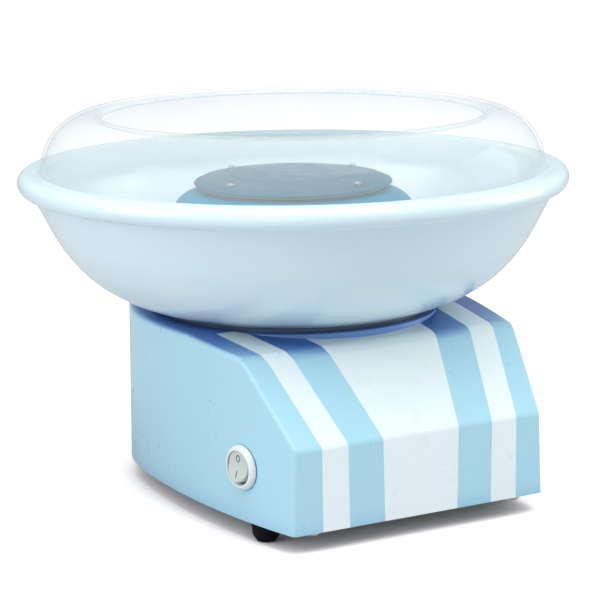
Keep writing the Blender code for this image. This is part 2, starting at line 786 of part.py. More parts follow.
def make_motor():
    plate_top = SEAT_UNDER_Z - GAP
    plate_low = plate_top - PLATE_THICK
    plate = turned("motor_plate", tube_profile(0.0080, PLATE_R, plate_low, plate_top), "steel", steps=40)
    places = [on_circle(PLATE_SCREW_PCD_R, degrees) for degrees in PLATE_SCREW_DEGREES]
    holes = cylinders_mesh("plate_holes", SCREW_R + GAP, plate_low - 0.002, plate_top + 0.002, places, 12)
    boolean(plate, link_cutter("plate_holes", holes))
    lead_hole = cylinders_mesh("lead_hole", 0.0040, plate_low - 0.002, plate_top + 0.002, [(0.0, 0.0330)], 12)
    boolean(plate, link_cutter("lead_hole", lead_hole))
    profile = screw_profile(plate_low - GAP, 0.0046, SCREW_R, SCREW_HEAD_R, SCREW_HEAD_H)
    for number, (x, y) in enumerate(places, start=1):
        screw = turned(f"plate_screw_{number}", profile, "steel", steps=14)
        screw.location = (x, y, 0.0)

    top = MOTOR_TOP_Z
    low = MOTOR_BOTTOM_Z
    skin = 0.0015
    turned("motor_can", [
        (0.0066, top), (MOTOR_R - 0.0010, top), (MOTOR_R, top - 0.0010), (MOTOR_R, low),
        (MOTOR_R - skin, low), (MOTOR_R - skin, top - skin), (0.0066, top - skin),
    ], "steel", steps=24)
    turned("motor_end_bell", [
        (0.0066, low - GAP), (MOTOR_R, low - GAP), (MOTOR_R, low - 0.0025),
        (MOTOR_R - 0.0015, low - 0.0035), (0.0066, low - 0.0035),
    ], "black_plastic", steps=24)
    bush_r = 0.0066 - GAP
    turned("motor_bush_upper", tube_profile(SHAFT_R + GAP, bush_r, top - 0.0050, top + 0.0026), "bronze", 16)
    turned("motor_bush_lower", tube_profile(SHAFT_R + GAP, bush_r, low - 0.0055, low + 0.0010), "bronze", 16)

    for name, degrees in (("motor_magnet_left", 180.0), ("motor_magnet_right", 0.0)):
        mesh = half_ring_mesh(name, 0.0168, MOTOR_R - skin - GAP, 0.0430, 0.0720, degrees)
        link_part(name, mesh, "ferrite")
    for name, side in (("motor_brush_left", -1.0), ("motor_brush_right", 1.0)):
        mesh = box_mesh(name, (0.0050, 0.0040, 0.0050), (side * (0.0058 + 0.0025), 0.0, 0.0350))
        link_part(name, mesh, "ferrite")


def make_rotor():
    shaft = turned("motor_shaft", [
        (0.0, SHAFT_TOP_Z), (SHAFT_R - 0.0004, SHAFT_TOP_Z), (SHAFT_R, SHAFT_TOP_Z - 0.0006),
        (SHAFT_R, SHAFT_BOTTOM_Z), (0.0, SHAFT_BOTTOM_Z),
    ], "steel", steps=20)
    cross = cylinder_mesh("pin_hole", 0.0012 + GAP, -0.006, 0.006, 14)
    hole = link_cutter("pin_hole", cross)
    hole.location = (0.0, 0.0, DRIVE_PIN_Z)
    hole.rotation_euler = (0.0, math.radians(90.0), 0.0)
    boolean(shaft, hole)

    pin = link_part("drive_pin", cylinder_mesh("drive_pin", 0.0012, -0.0052, 0.0052, 14), "steel")
    pin.location = (0.0, 0.0, DRIVE_PIN_Z)
    pin.rotation_euler = (0.0, math.radians(90.0), 0.0)

    inner = SHAFT_R + GAP
    turned("motor_armature", [
        (inner, 0.0780), (0.0080, 0.0780), (0.0125, 0.0745), (0.0138, 0.0705), (0.0159, 0.0700),
        (0.0159, 0.0450), (0.0138, 0.0445), (0.0125, 0.0415), (0.0080, 0.0405), (inner, 0.0405),
    ], "bronze", steps=20)
    turned("motor_commutator", tube_profile(inner, 0.0054, 0.0300, 0.0398), "brass", steps=20)


# ---------------------------------------------------------------- spinning head

def make_head():
    hub_bore = SHAFT_R + GAP
    pan = turned("head_pan", [
        (0.0498, 0.1626),
        (0.0498, 0.1613),
        (0.0432, 0.1613),
        (0.0410, 0.1535),
        (0.0062, 0.1535),
        (0.0062, 0.1400),
        (hub_bore, 0.1400),
        (hub_bore, 0.1590),
        (0.0070, 0.1590),
        (0.0070, 0.1550),
        (0.0400, 0.1550),
        (0.0421, 0.1626),
    ], "aluminium", steps=28)
    slot = box_mesh("pin_slot", (0.020, 0.0030, 0.0120), (0.0, 0.0, DRIVE_PIN_Z + 0.0015 - 0.0060))
    boolean(pan, link_cutter("pin_slot", slot))
    screw_places = [on_circle(HEAD_SCREW_PCD_R, -30.0 + 90.0 * i + 45.0 - 90.0) for i in range(4)]
    screw_holes = cylinders_mesh("head_screw_holes", 0.0014, 0.1580, 0.1720, screw_places, 10)
    boolean(pan, link_cutter("head_screw_holes", screw_holes))

    band = turned("head_band", tube_profile(0.0355, 0.0366, 0.1553, 0.1652), "steel", steps=32)
    bm = bmesh.new()
    slots = 16
    for i in range(slots):
        made = bmesh.ops.create_cube(bm, size=1.0)
        bmesh.ops.scale(bm, vec=(0.0080, 0.0030, 0.0060), verts=made["verts"])
        bmesh.ops.translate(bm, vec=(0.0360, 0.0, 0.1610), verts=made["verts"])
        turn = Matrix.Rotation(math.tau * (i + 0.5) / slots, 3, "Z")
        bmesh.ops.rotate(bm, matrix=turn, verts=made["verts"], cent=(0.0, 0.0, 0.0))
    boolean(band, link_cutter("band_slots", mesh_from(bm, "band_slots", smooth=False)))

    cover = turned("head_cover", [
        (0.0120, 0.1650),
        (0.0190, 0.1650),
        (0.0214, 0.1682),
        (0.0232, 0.1690),
        (0.0380, 0.1676),
        (0.0496, 0.1650),
        (0.0518, 0.1640),
        (HEAD_R, 0.1630),
        (0.0516, 0.1624),
        (0.0500, 0.1634),
        (0.0375, 0.1661),
        (0.0240, 0.1674),
        (0.0205, 0.1636),
        (0.0120, 0.1636),
    ], "slate_plastic", steps=32)
    cover_holes = cylinders_mesh("head_cover_holes", 0.0014, 0.1600, 0.1720, screw_places, 10)
    boolean(cover, link_cutter("head_cover_holes", cover_holes))

    seat_z = 0.1668
    profile = [
        (0.0, seat_z + 0.0008), (0.0012, seat_z + 0.0007), (0.0022, seat_z + 0.0001),
        (0.0022, seat_z - 0.0001), (0.0011, seat_z - 0.0001), (0.0011, 0.1620), (0.0, 0.1620),
    ]
    for number, (x, y) in enumerate(screw_places, start=1):
        screw = turned(f"head_screw_{number}", profile, "steel", steps=12)
        screw.location = (x, y, 0.0)


# ---------------------------------------------------------------- circuit board and leads

BOARD_CENTRE = (0.045, -0.010)
BOARD_Z = 0.0200
BOARD_SIZE = (0.030, 0.050, 0.0016)


def make_board():
    x, y = BOARD_CENTRE
    low = BASE_BOTTOM_Z + COVER_THICK + GAP
    for name, side in (("board_post_front", -1.0), ("board_post_back", 1.0)):
        post = link_part(name, cylinder_mesh(name, 0.0032, low, BOARD_Z - GAP, 14), "white_plastic")
        post.location = (x, y + side * 0.020, 0.0)
    middle = BOARD_Z + 0.5 * BOARD_SIZE[2]
    link_part("circuit_board", box_mesh("circuit_board", BOARD_SIZE, (x, y, middle)), "board_green")
    top = BOARD_Z + BOARD_SIZE[2] + GAP
    link_part("rectifier", box_mesh("rectifier", (0.0100, 0.0050, 0.0090), (x, y + 0.014, top + 0.0045)),
              "black_plastic")
    capacitor = link_part("capacitor", cylinder_mesh("capacitor", 0.0050, top, top + 0.0120, 18), "aluminium")
    capacitor.location = (x, y, 0.0)
    link_part("terminal_block",
              box_mesh("terminal_block", (0.0180, 0.0080, 0.0090), (x, y - 0.016, top + 0.0045)),
              "white_plastic")
    return top


def lead(name, route, material, radius=0.0011, points=17):
    """A lead: one smooth curve through the route's own points, drawn as a round tube."""
    places = [Vector(p) for p in route]
    smooth = []
    for i in range(points):
        s = (len(places) - 1) * i / (points - 1)
        k = min(int(s), len(places) - 2)
        t = s - k
        a = places[max(k - 1, 0)]
        b, c = places[k], places[k + 1]
        d = places[min(k + 2, len(places) - 1)]
        smooth.append(0.5 * (2.0 * b + (c - a) * t + (2.0 * a - 5.0 * b + 4.0 * c - d) * t * t
                             + (3.0 * b - a - 3.0 * c + d) * t * t * t))
    curve = bpy.data.curves.new(name, "CURVE")
    curve.dimensions = "3D"
    curve.bevel_depth = radius
    curve.bevel_resolution = 2
    curve.use_fill_caps = True
    spline = curve.splines.new("POLY")
    spline.points.add(points - 1)
    for point, place in zip(spline.points, smooth):
        point.co = (*place, 1.0)
    wire = bpy.data.objects.new(name, curve)
    wire.data.materials.append(MATERIALS[material])
    PARTS.objects.link(wire)
    return wire


def make_leads(switch_frame, board_top):
    block_x = BOARD_CENTRE[0] - 0.0090
    block_y = BOARD_CENTRE[1] - 0.016
    tail = switch_frame @ Vector((0.0045, 0.0, -SWITCH_DEPTH - 2.0 * GAP - 0.0100))
    lead("lead_switch", [
        tail,
        tail + Vector((0.0080, 0.0, -0.0040)),
        (-0.0300, -0.0700, 0.0200),
        (0.0000, -0.0600, 0.0180),
        (0.0220, -0.0400, 0.0260),
        (block_x - GAP - 0.0012, block_y, board_top + 0.0045),
    ], "blue_wire")
    lead("lead_motor", [
        (block_x + 0.0040, block_y + 0.0040 + GAP + 0.0012, board_top + 0.0060),
        (block_x - 0.0020, block_y + 0.0100, board_top + 0.0075),
        (0.0270, -0.0080, 0.0255),
        (0.0200, -0.0050, 0.0205),
        (0.0150, -0.0030, 0.0226),
    ], "red_wire")
    lead("lead_heater", [
        (BOARD_CENTRE[0] - 0.0150, BOARD_CENTRE[1] + 0.0250, board_top + 0.0040),
        (0.0220, 0.0260, 0.0300),
        (0.0060, 0.0330, 0.0450),
        (0.0000, 0.0330, 0.0650),
        (0.0000, 0.0330, 0.0900),
        (0.0000, 0.0330, 0.1180),
    ], "red_wire")


# ---------------------------------------------------------------- build

clear_scene()
PARTS = new_collection(MACHINE)
CUTTERS = new_collection("cutters")
MATERIALS = {name: make_material(name) for name in FINISH}

bpy.context.view_layer.update()
switch_frame = link_empty("switch_frame", switch_matrix())
make_base_housing(switch_frame)
make_bottom_cover()
make_feet()
make_cover_screws()
make_switch(switch_frame)
make_grommet()
make_bowl()
make_clear_ring()
make_heater()
make_motor()
make_rotor()
make_head()
make_leads(switch_matrix(), make_board())
bpy.context.view_layer.update()
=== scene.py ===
"""Looks for the cotton candy machine: fine meshes, materials, floor, lights and camera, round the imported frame.

Everything is in metres in the row frame: +Z up, the sloped front faces -Y, the motor's axis is X = Y = 0.
"""
import json
import math

import bmesh
import bpy
from mathutils import Matrix, Vector


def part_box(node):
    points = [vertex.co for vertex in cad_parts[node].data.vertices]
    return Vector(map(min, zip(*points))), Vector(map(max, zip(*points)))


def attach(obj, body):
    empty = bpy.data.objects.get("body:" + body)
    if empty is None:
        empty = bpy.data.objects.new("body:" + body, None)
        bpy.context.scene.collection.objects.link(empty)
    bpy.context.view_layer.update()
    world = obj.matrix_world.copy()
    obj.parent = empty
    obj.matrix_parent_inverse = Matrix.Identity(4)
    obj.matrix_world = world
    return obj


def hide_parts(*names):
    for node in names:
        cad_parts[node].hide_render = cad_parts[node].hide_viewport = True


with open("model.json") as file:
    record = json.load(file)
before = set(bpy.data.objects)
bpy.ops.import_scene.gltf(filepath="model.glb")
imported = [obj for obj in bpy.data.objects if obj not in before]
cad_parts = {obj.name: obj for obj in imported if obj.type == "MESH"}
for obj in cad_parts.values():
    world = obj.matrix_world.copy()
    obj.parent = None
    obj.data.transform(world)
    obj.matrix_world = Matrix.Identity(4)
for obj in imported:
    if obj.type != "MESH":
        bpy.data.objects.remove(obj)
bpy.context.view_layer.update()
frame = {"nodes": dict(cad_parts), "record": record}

TURN_STEPS = 160                  # facets round a large turned piece


# ---------------------------------------------------------------- camera

VIEW_AZIMUTH = -30.76
VIEW_ELEVATION = 11.14
VIEW_ROLL = -0.74
VIEW_DISTANCE = 1.400
VIEW_TARGET = Vector((0.0, 0.0, 0.10343))
VIEW_LENS = 157.9
VIEW_SHIFT = (0.0090, -0.0125)


def make_camera():
    """Looks at the target from the view's azimuth and elevation, turned about its own axis by the roll."""
    azimuth, elevation, roll = (math.radians(a) for a in (VIEW_AZIMUTH, VIEW_ELEVATION, VIEW_ROLL))
    back = Vector((math.sin(azimuth) * math.cos(elevation), -math.cos(azimuth) * math.cos(elevation),
                   math.sin(elevation)))
    right = Vector((math.cos(azimuth), math.sin(azimuth), 0.0))
    up = back.cross(right)
    across = math.cos(roll) * right + math.sin(roll) * up
    upright = back.cross(across)
    turn = Matrix((across, upright, back)).transposed().to_4x4()
    data = bpy.data.cameras.new("camera")
    data.lens = VIEW_LENS
    data.sensor_width = 36.0
    data.shift_x, data.shift_y = VIEW_SHIFT
    data.clip_start = 0.05
    data.clip_end = 50.0
    camera = bpy.data.objects.new("camera", data)
    camera.matrix_world = Matrix.Translation(VIEW_TARGET + VIEW_DISTANCE * back) @ turn
    bpy.context.scene.collection.objects.link(camera)
    bpy.context.scene.camera = camera


# ---------------------------------------------------------------- material helpers

# The Mix node has sockets for each data type. These are its factor, its two colours, and the mixed colour.
COLOUR_MIX_INPUTS = (0, 6, 7)
COLOUR_MIX_OUTPUT = 2


class Look:
    """A procedural material: a Principled shader, with node helpers in the row frame's coordinates."""

    def __init__(self, name, colour, roughness, metallic=0.0):
        self.material = bpy.data.materials.new(name)
        self.material.use_nodes = True
        self.nodes = self.material.node_tree.nodes
        self.links = self.material.node_tree.links
        self.shader = self.nodes["Principled BSDF"]
        self.shader.inputs["Base Color"].default_value = (*colour, 1.0)
        self.shader.inputs["Roughness"].default_value = roughness
        self.shader.inputs["Metallic"].default_value = metallic
        self.place = self.nodes.new("ShaderNodeTexCoord").outputs["Object"]

    def set(self, socket, value):
        self.shader.inputs[socket].default_value = value

    def link(self, output, socket):
        self.links.new(output, socket)

    def math(self, operation, a, b=None, c=None, clamp=False):
        node = self.nodes.new("ShaderNodeMath")
        node.operation = operation
        node.use_clamp = clamp
        for socket, value in zip(node.inputs, (a, b, c)):
            if value is None:
                continue
            if isinstance(value, (int, float)):
                socket.default_value = value
            else:
                self.links.new(value, socket)
        return node.outputs[0]

    def split(self, vector=None):
        node = self.nodes.new("ShaderNodeSeparateXYZ")
        self.links.new(self.place if vector is None else vector, node.inputs[0])
        return node.outputs["X"], node.outputs["Y"], node.outputs["Z"]

    def noise(self, scale, detail=3.0, roughness=0.5, vector=None, stretch=None):
        node = self.nodes.new("ShaderNodeTexNoise")
        node.inputs["Scale"].default_value = scale
        node.inputs["Detail"].default_value = detail
        node.inputs["Roughness"].default_value = roughness
        source = self.place if vector is None else vector
        if stretch is not None:
            mapping = self.nodes.new("ShaderNodeMapping")
            mapping.inputs["Scale"].default_value = stretch
            self.links.new(source, mapping.inputs["Vector"])
            source = mapping.outputs[0]
        self.links.new(source, node.inputs["Vector"])
        return node.outputs["Fac"]

    def remap(self, value, low, high, to_low, to_high, smooth=False):
        node = self.nodes.new("ShaderNodeMapRange")
        node.clamp = True
        if smooth:
            node.interpolation_type = "SMOOTHSTEP"
        self.links.new(value, node.inputs["Value"])
        for socket, number in zip(("From Min", "From Max", "To Min", "To Max"), (low, high, to_low, to_high)):
            node.inputs[socket].default_value = number
        return node.outputs["Result"]

    def mix(self, share, a, b):
        """Colours a and b, mixed by share, 0 to 1."""
        node = self.nodes.new("ShaderNodeMix")
        node.data_type = "RGBA"
        sockets = [node.inputs[index] for index in COLOUR_MIX_INPUTS]
        for socket, value in zip(sockets, (share, a, b)):
            if isinstance(value, tuple):
                socket.default_value = (*value, 1.0)
            elif isinstance(value, (int, float)):
                socket.default_value = value
            else:
                self.links.new(value, socket)
        return node.outputs[COLOUR_MIX_OUTPUT]

    def shade(self, base, share, amount):
        """base, darkened and lightened by amount as share goes from 0 to 1."""
        node = self.nodes.new("ShaderNodeHueSaturation")
        self.links.new(self.remap(share, 0.25, 0.75, 1.0 - amount, 1.0 + amount), node.inputs["Value"])
        if isinstance(base, tuple):
            node.inputs["Color"].default_value = (*base, 1.0)
        else:
            self.links.new(base, node.inputs["Color"])
        return node.outputs["Color"]

    def bump(self, height, distance, strength=1.0, under=None):
        node = self.nodes.new("ShaderNodeBump")
        node.inputs["Strength"].default_value = strength
        node.inputs["Distance"].default_value = distance
        self.links.new(height, node.inputs["Height"])
        if under is not None:
            self.links.new(under, node.inputs["Normal"])
        return node.outputs["Normal"]

    def radius(self):
        """Distance from the motor's axis."""
        x, y, _ = self.split()
        return self.math("SQRT", self.math("ADD", self.math("MULTIPLY", x, x), self.math("MULTIPLY", y, y)))


def moulded_plastic(name, colour, roughness, variation=0.008, grain=0.000004, grain_scale=1400.0):
    """Smooth moulded plastic: slight flow shading, faint handling marks in the gloss, a fine tool grain."""
    look = Look(name, colour, roughness)
    flow = look.noise(18.0, 4.0, 0.55)
    look.link(look.shade(colour, flow, variation), look.shader.inputs["Base Color"])
    marks = look.noise(55.0, 5.0, 0.6)
    look.link(look.remap(marks, 0.3, 0.7, roughness * 0.88, roughness * 1.12), look.shader.inputs["Roughness"])
    fine = look.noise(grain_scale, 2.0, 0.5)
    look.link(look.bump(fine, grain), look.shader.inputs["Normal"])
    return look


def brushed_metal(name, colour, roughness, spun=True):
    """Metal with fine lines: rings round the axis on spun pieces, streaks along Z on others."""
    look = Look(name, colour, roughness, 1.0)
    stretch = None if spun else (900.0, 900.0, 20.0)
    vector = None
    if spun:
        node = look.nodes.new("ShaderNodeCombineXYZ")
        look.link(look.radius(), node.inputs["X"])
        _, _, z = look.split()
        look.link(z, node.inputs["Y"])
        vector = node.outputs[0]
    lines = look.noise(2600.0 if spun else 1.0, 3.0, 0.6, vector, stretch)
    patches = look.noise(40.0, 3.0)
    look.link(look.shade(colour, patches, 0.06), look.shader.inputs["Base Color"])
    look.link(look.remap(lines, 0.3, 0.7, roughness * 0.75, roughness * 1.3), look.shader.inputs["Roughness"])
    look.link(look.bump(lines, 0.00002), look.shader.inputs["Normal"])
    return look


# ---------------------------------------------------------------- materials

BLUE = (0.385, 0.675, 0.80)
# painted shade: the dark blue that the housing deepens to under the bowl and near other parts
UNDER_BOWL_SHADE_BLUE = (0.060, 0.180, 0.500)
WHITE_PRINT = (0.77, 0.88, 0.91)
PALE = (0.67, 0.85, 0.925)
# painted light: a lighter copy of the bowl's plastic for its inside, standing in for light through it
PALE_LIT_INSIDE = (0.76, 0.86, 0.90)
SLATE = (0.008, 0.105, 0.175)
SHROUD_BLUE = (0.004, 0.22, 0.38)

FRONT_Y = -0.1214
FOLD_Z = 0.0524
BROW_Y = -0.085
# Stripe edges, each by its |X| at the fold, its spread per metre up the front and back along the slope.
STRIPE_EDGES = ((0.0225, 0.021, 0.286), (0.0428, 0.017, 0.308), (0.0579, 0.007, 0.291))
STRIPE_TOP_SPREAD = 0.10
STRIPE_END_Y = -0.0440
STRIPE_EDGE_SOFT = 0.00012
PRINT_THICK = 0.00012
UNDER_BOWL_SHADE_GAP = 0.035            # painted shade: the blue deepens where other surfaces are this near
# painted shade: the white plastic turns grey in gaps this narrow
CREASE_SHADE_GAP = 0.0016
CREASE_SHADE_GREY = (0.10, 0.13, 0.15)
CLEAR_HAZE = 0.17                 # how much a single wall of the clear ring hides, seen square on
CLEAR_HAZE_SPREAD = 0.01
CLEAR_EDGE_HAZE = 0.35            # added where a wall is seen edge on
CLEAR_CREST_HAZE = 0.10           # added towards the ring's crest
BOARD_GREEN = (0.02, 0.16, 0.07)
BOARD_TRACK = (0.03, 0.24, 0.10)


def closeness(look, distance, low, high):
    """How closely other surfaces hem a point in, 0 in the open to 1 in a narrow gap; it masks painted shade."""
    node = look.nodes.new("ShaderNodeAmbientOcclusion")
    node.samples = 8
    node.inputs["Distance"].default_value = distance
    return look.remap(node.outputs["AO"], low, high, 1.0, 0.0, smooth=True)


def make_striped_blue():
    """The housing's blue with its printed white stripes: one in the middle and one towards each side."""
    look = moulded_plastic("blue_plastic", BLUE, 0.30)
    x, y, z = look.split()
    across = look.math("ABSOLUTE", x)
    below_fold = look.math("MINIMUM", look.math("SUBTRACT", z, FOLD_Z), 0.0)
    up_slope = look.remap(y, FRONT_Y, BROW_Y, 0.0, BROW_Y - FRONT_Y)
    on_top = look.math("MAXIMUM", look.math("SUBTRACT", y, BROW_Y), 0.0)
    inside = []
    for at_fold, front_spread, slope_spread in STRIPE_EDGES:
        edge = look.math("MULTIPLY_ADD", below_fold, front_spread, at_fold)
        edge = look.math("MULTIPLY_ADD", up_slope, slope_spread, edge)
        edge = look.math("MULTIPLY_ADD", on_top, STRIPE_TOP_SPREAD, edge)
        beyond = look.math("SUBTRACT", across, edge)
        inside.append(look.remap(beyond, -STRIPE_EDGE_SOFT, STRIPE_EDGE_SOFT, 1.0, 0.0, smooth=True))
    middle, side_in, side_out = inside
    white = look.math("ADD", middle, look.math("SUBTRACT", side_out, side_in))
    ends = look.remap(y, STRIPE_END_Y - STRIPE_EDGE_SOFT, STRIPE_END_Y + STRIPE_EDGE_SOFT, 1.0, 0.0)
    white = look.math("MULTIPLY", white, ends, clamp=True)
    plain = look.shader.inputs["Base Color"].links[0].from_socket
    # painted shade: the blue deepens where other surfaces hem it in, as under the bowl
    blue = look.mix(closeness(look, UNDER_BOWL_SHADE_GAP, 0.30, 0.80), plain, UNDER_BOWL_SHADE_BLUE)
    look.link(look.mix(white, blue, WHITE_PRINT), look.shader.inputs["Base Color"])
    under = look.shader.inputs["Normal"].links[0].from_socket
    look.link(look.bump(white, PRINT_THICK, 1.0, under), look.shader.inputs["Normal"])
    look.set("Coat Weight", 0.25)
    look.set("Coat Roughness", 0.12)
    return look


def make_white_plastic():
    look = moulded_plastic("white_plastic", (0.74, 0.80, 0.80), 0.30)
    plain = look.shader.inputs["Base Color"].links[0].from_socket
    # painted shade: grey in the creases and narrow gaps of the white plastic
    look.link(look.mix(closeness(look, CREASE_SHADE_GAP, 0.35, 0.75), plain, CREASE_SHADE_GREY),
              look.shader.inputs["Base Color"])
    return look


def make_pale_plastic(name="pale_plastic", colour=PALE):
    look = moulded_plastic(name, colour, 0.22, 0.012)
    look.set("Coat Weight", 0.3)
    look.set("Coat Roughness", 0.08)
    return look


def make_clear_plastic():
    """Milky clear plastic: it lets most light straight through, and less where it is seen edge on."""
    look = Look("clear_plastic", (0.80, 0.88, 0.90), 0.12)
    facing = look.nodes.new("ShaderNodeLayerWeight")
    facing.inputs["Blend"].default_value = 0.35
    haze = look.remap(look.noise(30.0, 4.0, 0.55), 0.3, 0.7,
                      CLEAR_HAZE - CLEAR_HAZE_SPREAD, CLEAR_HAZE + CLEAR_HAZE_SPREAD)
    edge = look.math("MULTIPLY", look.math("POWER", facing.outputs["Facing"], 2.0), CLEAR_EDGE_HAZE)
    from_axis = look.remap(look.radius(), 0.100, 0.125, CLEAR_CREST_HAZE, 0.0, smooth=True)
    haze = look.math("ADD", haze, from_axis)
    look.link(look.math("ADD", haze, edge, clamp=True), look.shader.inputs["Alpha"])
    specks = look.noise(160.0, 4.0, 0.6)
    look.link(look.remap(specks, 0.45, 0.8, 0.06, 0.14), look.shader.inputs["Roughness"])
    return look


def make_slate(name="slate_plastic", colour=SLATE):
    look = moulded_plastic(name, colour, 0.5, 0.04, 0.000008, 900.0)
    look.set("Specular IOR Level", 0.2)
    return look


def make_rubber():
    look = moulded_plastic("black_rubber", (0.006, 0.006, 0.008), 0.85, 0.2, 0.00006, 700.0)
    look.set("Specular IOR Level", 0.15)
    return look


def make_board_green():
    look = moulded_plastic("board_green", BOARD_GREEN, 0.35, 0.08)
    tracks = look.remap(look.noise(300.0, 1.0), 0.52, 0.56, 0.0, 1.0)
    look.link(look.mix(tracks, BOARD_GREEN, BOARD_TRACK), look.shader.inputs["Base Color"])
    return look


LOOKS = {
    "blue_plastic": make_striped_blue,
    "pale_plastic": make_pale_plastic,
    "clear_plastic": make_clear_plastic,
    "slate_plastic": make_slate,
    "white_plastic": make_white_plastic,
    "black_rubber": make_rubber,
    "black_plastic": lambda: moulded_plastic("black_plastic", (0.02, 0.02, 0.02), 0.45, 0.1),
    "aluminium": lambda: brushed_metal("aluminium", (0.80, 0.81, 0.83), 0.28),
    "steel": lambda: brushed_metal("steel", (0.56, 0.57, 0.58), 0.30),
    "brass": lambda: brushed_metal("brass", (0.75, 0.55, 0.25), 0.30),
    "bronze": lambda: brushed_metal("bronze", (0.50, 0.33, 0.18), 0.45),
    "ceramic": lambda: moulded_plastic("ceramic", (0.85, 0.82, 0.74), 0.65, 0.05, 0.00008, 500.0),
    "ferrite": lambda: moulded_plastic("ferrite", (0.05, 0.05, 0.055), 0.65, 0.15, 0.00008, 600.0),
    "board_green": make_board_green,
    "red_wire": lambda: moulded_plastic("red_wire", (0.50, 0.03, 0.02), 0.40, 0.05),
    "blue_wire": lambda: moulded_plastic("blue_wire", (0.03, 0.08, 0.40), 0.40, 0.05),
}
LOOK = {slot: make().material for slot, make in LOOKS.items()}
LOOK["pale_lit_inside"] = make_pale_plastic("pale_lit_inside", PALE_LIT_INSIDE).material
LOOK["shroud_blue"] = make_slate("shroud_blue", SHROUD_BLUE).material
# painted shade: a deeper blue for the seat ring, shaded by the bowl above it
LOOK["seat_shade_blue"] = moulded_plastic("seat_shade_blue", (0.16, 0.33, 0.70), 0.30).material
# painted shade: a dark slate for the bowl's low foot band, which sits in shade above the seat
LOOK["foot_shade_slate"] = moulded_plastic("foot_shade_slate", (0.09, 0.16, 0.27), 0.35).material
LOOK["rocker_grey"] = moulded_plastic("rocker_grey", (0.52, 0.60, 0.575), 0.35).material
LOOK["dull_aluminium"] = brushed_metal("dull_aluminium", (0.20, 0.30, 0.37), 0.45).material
LOOK["marking"] = moulded_plastic("marking", (0.02, 0.04, 0.045), 0.45, 0.1).material


# ---------------------------------------------------------------- mesh helpers

def finish_mesh(bm, name, sharp_degrees=35.0):
    bmesh.ops.remove_doubles(bm, verts=bm.verts, dist=1e-7)
    bmesh.ops.recalc_face_normals(bm, faces=bm.faces)
    mesh = bpy.data.meshes.new(name)
    bm.to_mesh(mesh)
    bm.free()
    mesh.shade_smooth()
    mesh.set_sharp_from_angle(angle=math.radians(sharp_degrees))
    return mesh


def add_piece(name, mesh, body, slot, *nodes, look=None):
    """A new piece that rides on a body, takes a material slot's look, and stands for CAD nodes."""
    piece = bpy.data.objects.new(name, mesh)
    bpy.context.scene.collection.objects.link(piece)
    piece.data.materials.append(LOOK[look or slot])
    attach(piece, body)
    if nodes:
        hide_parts(*nodes)
    return piece


def filleted(points, steps=6):
    """A closed outline of (r, z) or (r, z, fillet radius) corners, with each fillet drawn as an arc."""
    rounded = []
    count = len(points)
    for i, corner in enumerate(points):
        here = Vector(corner[:2])
        fillet = corner[2] if len(corner) > 2 else 0.0
        before = Vector(points[i - 1][:2]) - here
        after = Vector(points[(i + 1) % count][:2]) - here
        if fillet == 0.0 or before.length == 0.0 or after.length == 0.0:
            rounded.append(tuple(here))
            continue
        half = before.angle(after) / 2.0
        reach = min(fillet / math.tan(half), 0.49 * before.length, 0.49 * after.length)
        start = here + before.normalized() * reach
        end = here + after.normalized() * reach
        for k in range(steps + 1):
            t = k / steps
            first = start.lerp(here, t)
            second = here.lerp(end, t)
            rounded.append(tuple(first.lerp(second, t)))
    return rounded


def splined(points, per_span=6):
    """A smooth open line through (r, z) points."""
    line = []
    for i in range(len(points) - 1):
        a = Vector(points[max(i - 1, 0)])
        b, c = Vector(points[i]), Vector(points[i + 1])
        d = Vector(points[min(i + 2, len(points) - 1)])
        for k in range(per_span):
            t = k / per_span
            line.append(tuple(0.5 * (2.0 * b + (c - a) * t + (2.0 * a - 5.0 * b + 4.0 * c - d) * t * t
                                     + (3.0 * b - a - 3.0 * c + d) * t * t * t)))
    line.append(tuple(points[-1]))
    return line


def arc(centre, radius, start_degrees, end_degrees, steps=10):
    points = []
    for i in range(steps + 1):
        angle = math.radians(start_degrees + (end_degrees - start_degrees) * i / steps)
        points.append((centre[0] + radius * math.cos(angle), centre[1] + radius * math.sin(angle)))
    return points


def turned_mesh(name, outline, steps=TURN_STEPS, sharp_degrees=35.0, place=None):
    """A closed outline in (r, z), turned about Z. Points on the axis become one vertex."""
    bm = bmesh.new()
    rings = []
    for r, z in outline:
        if r < 1e-6:
            rings.append([bm.verts.new((0.0, 0.0, z))] * steps)
            continue
        ring = []
        for i in range(steps):
            angle = math.tau * i / steps
            ring.append(bm.verts.new((r * math.cos(angle), r * math.sin(angle), z)))
        rings.append(ring)
    for j in range(len(rings)):
        a, b = rings[j], rings[(j + 1) % len(rings)]
        for i in range(steps):
            k = (i + 1) % steps
            corners = []
            for vert in (a[i], a[k], b[k], b[i]):
                if vert not in corners:
                    corners.append(vert)
            if len(corners) > 2:
                bm.faces.new(corners)
    if place is not None:
        bmesh.ops.transform(bm, matrix=place, verts=bm.verts)
    return finish_mesh(bm, name, sharp_degrees)


def apply_modifiers(piece):
    """Replaces the piece's mesh by its evaluated one."""
    graph = bpy.context.evaluated_depsgraph_get()
    evaluated = piece.evaluated_get(graph)
    mesh = bpy.data.meshes.new_from_object(evaluated)
    piece.modifiers.clear()
    piece.data = mesh
    return piece


def cut(piece, mesh, name):
    """Takes the shape of mesh out of the piece."""
    cutter = bpy.data.objects.new(name, mesh)
    bpy.context.scene.collection.objects.link(cutter)
    modifier = piece.modifiers.new(name, "BOOLEAN")
    modifier.operation = "DIFFERENCE"
    modifier.solver = "EXACT"
    modifier.object = cutter
    bpy.context.view_layer.update()
    apply_modifiers(piece)
    bpy.data.objects.remove(cutter)


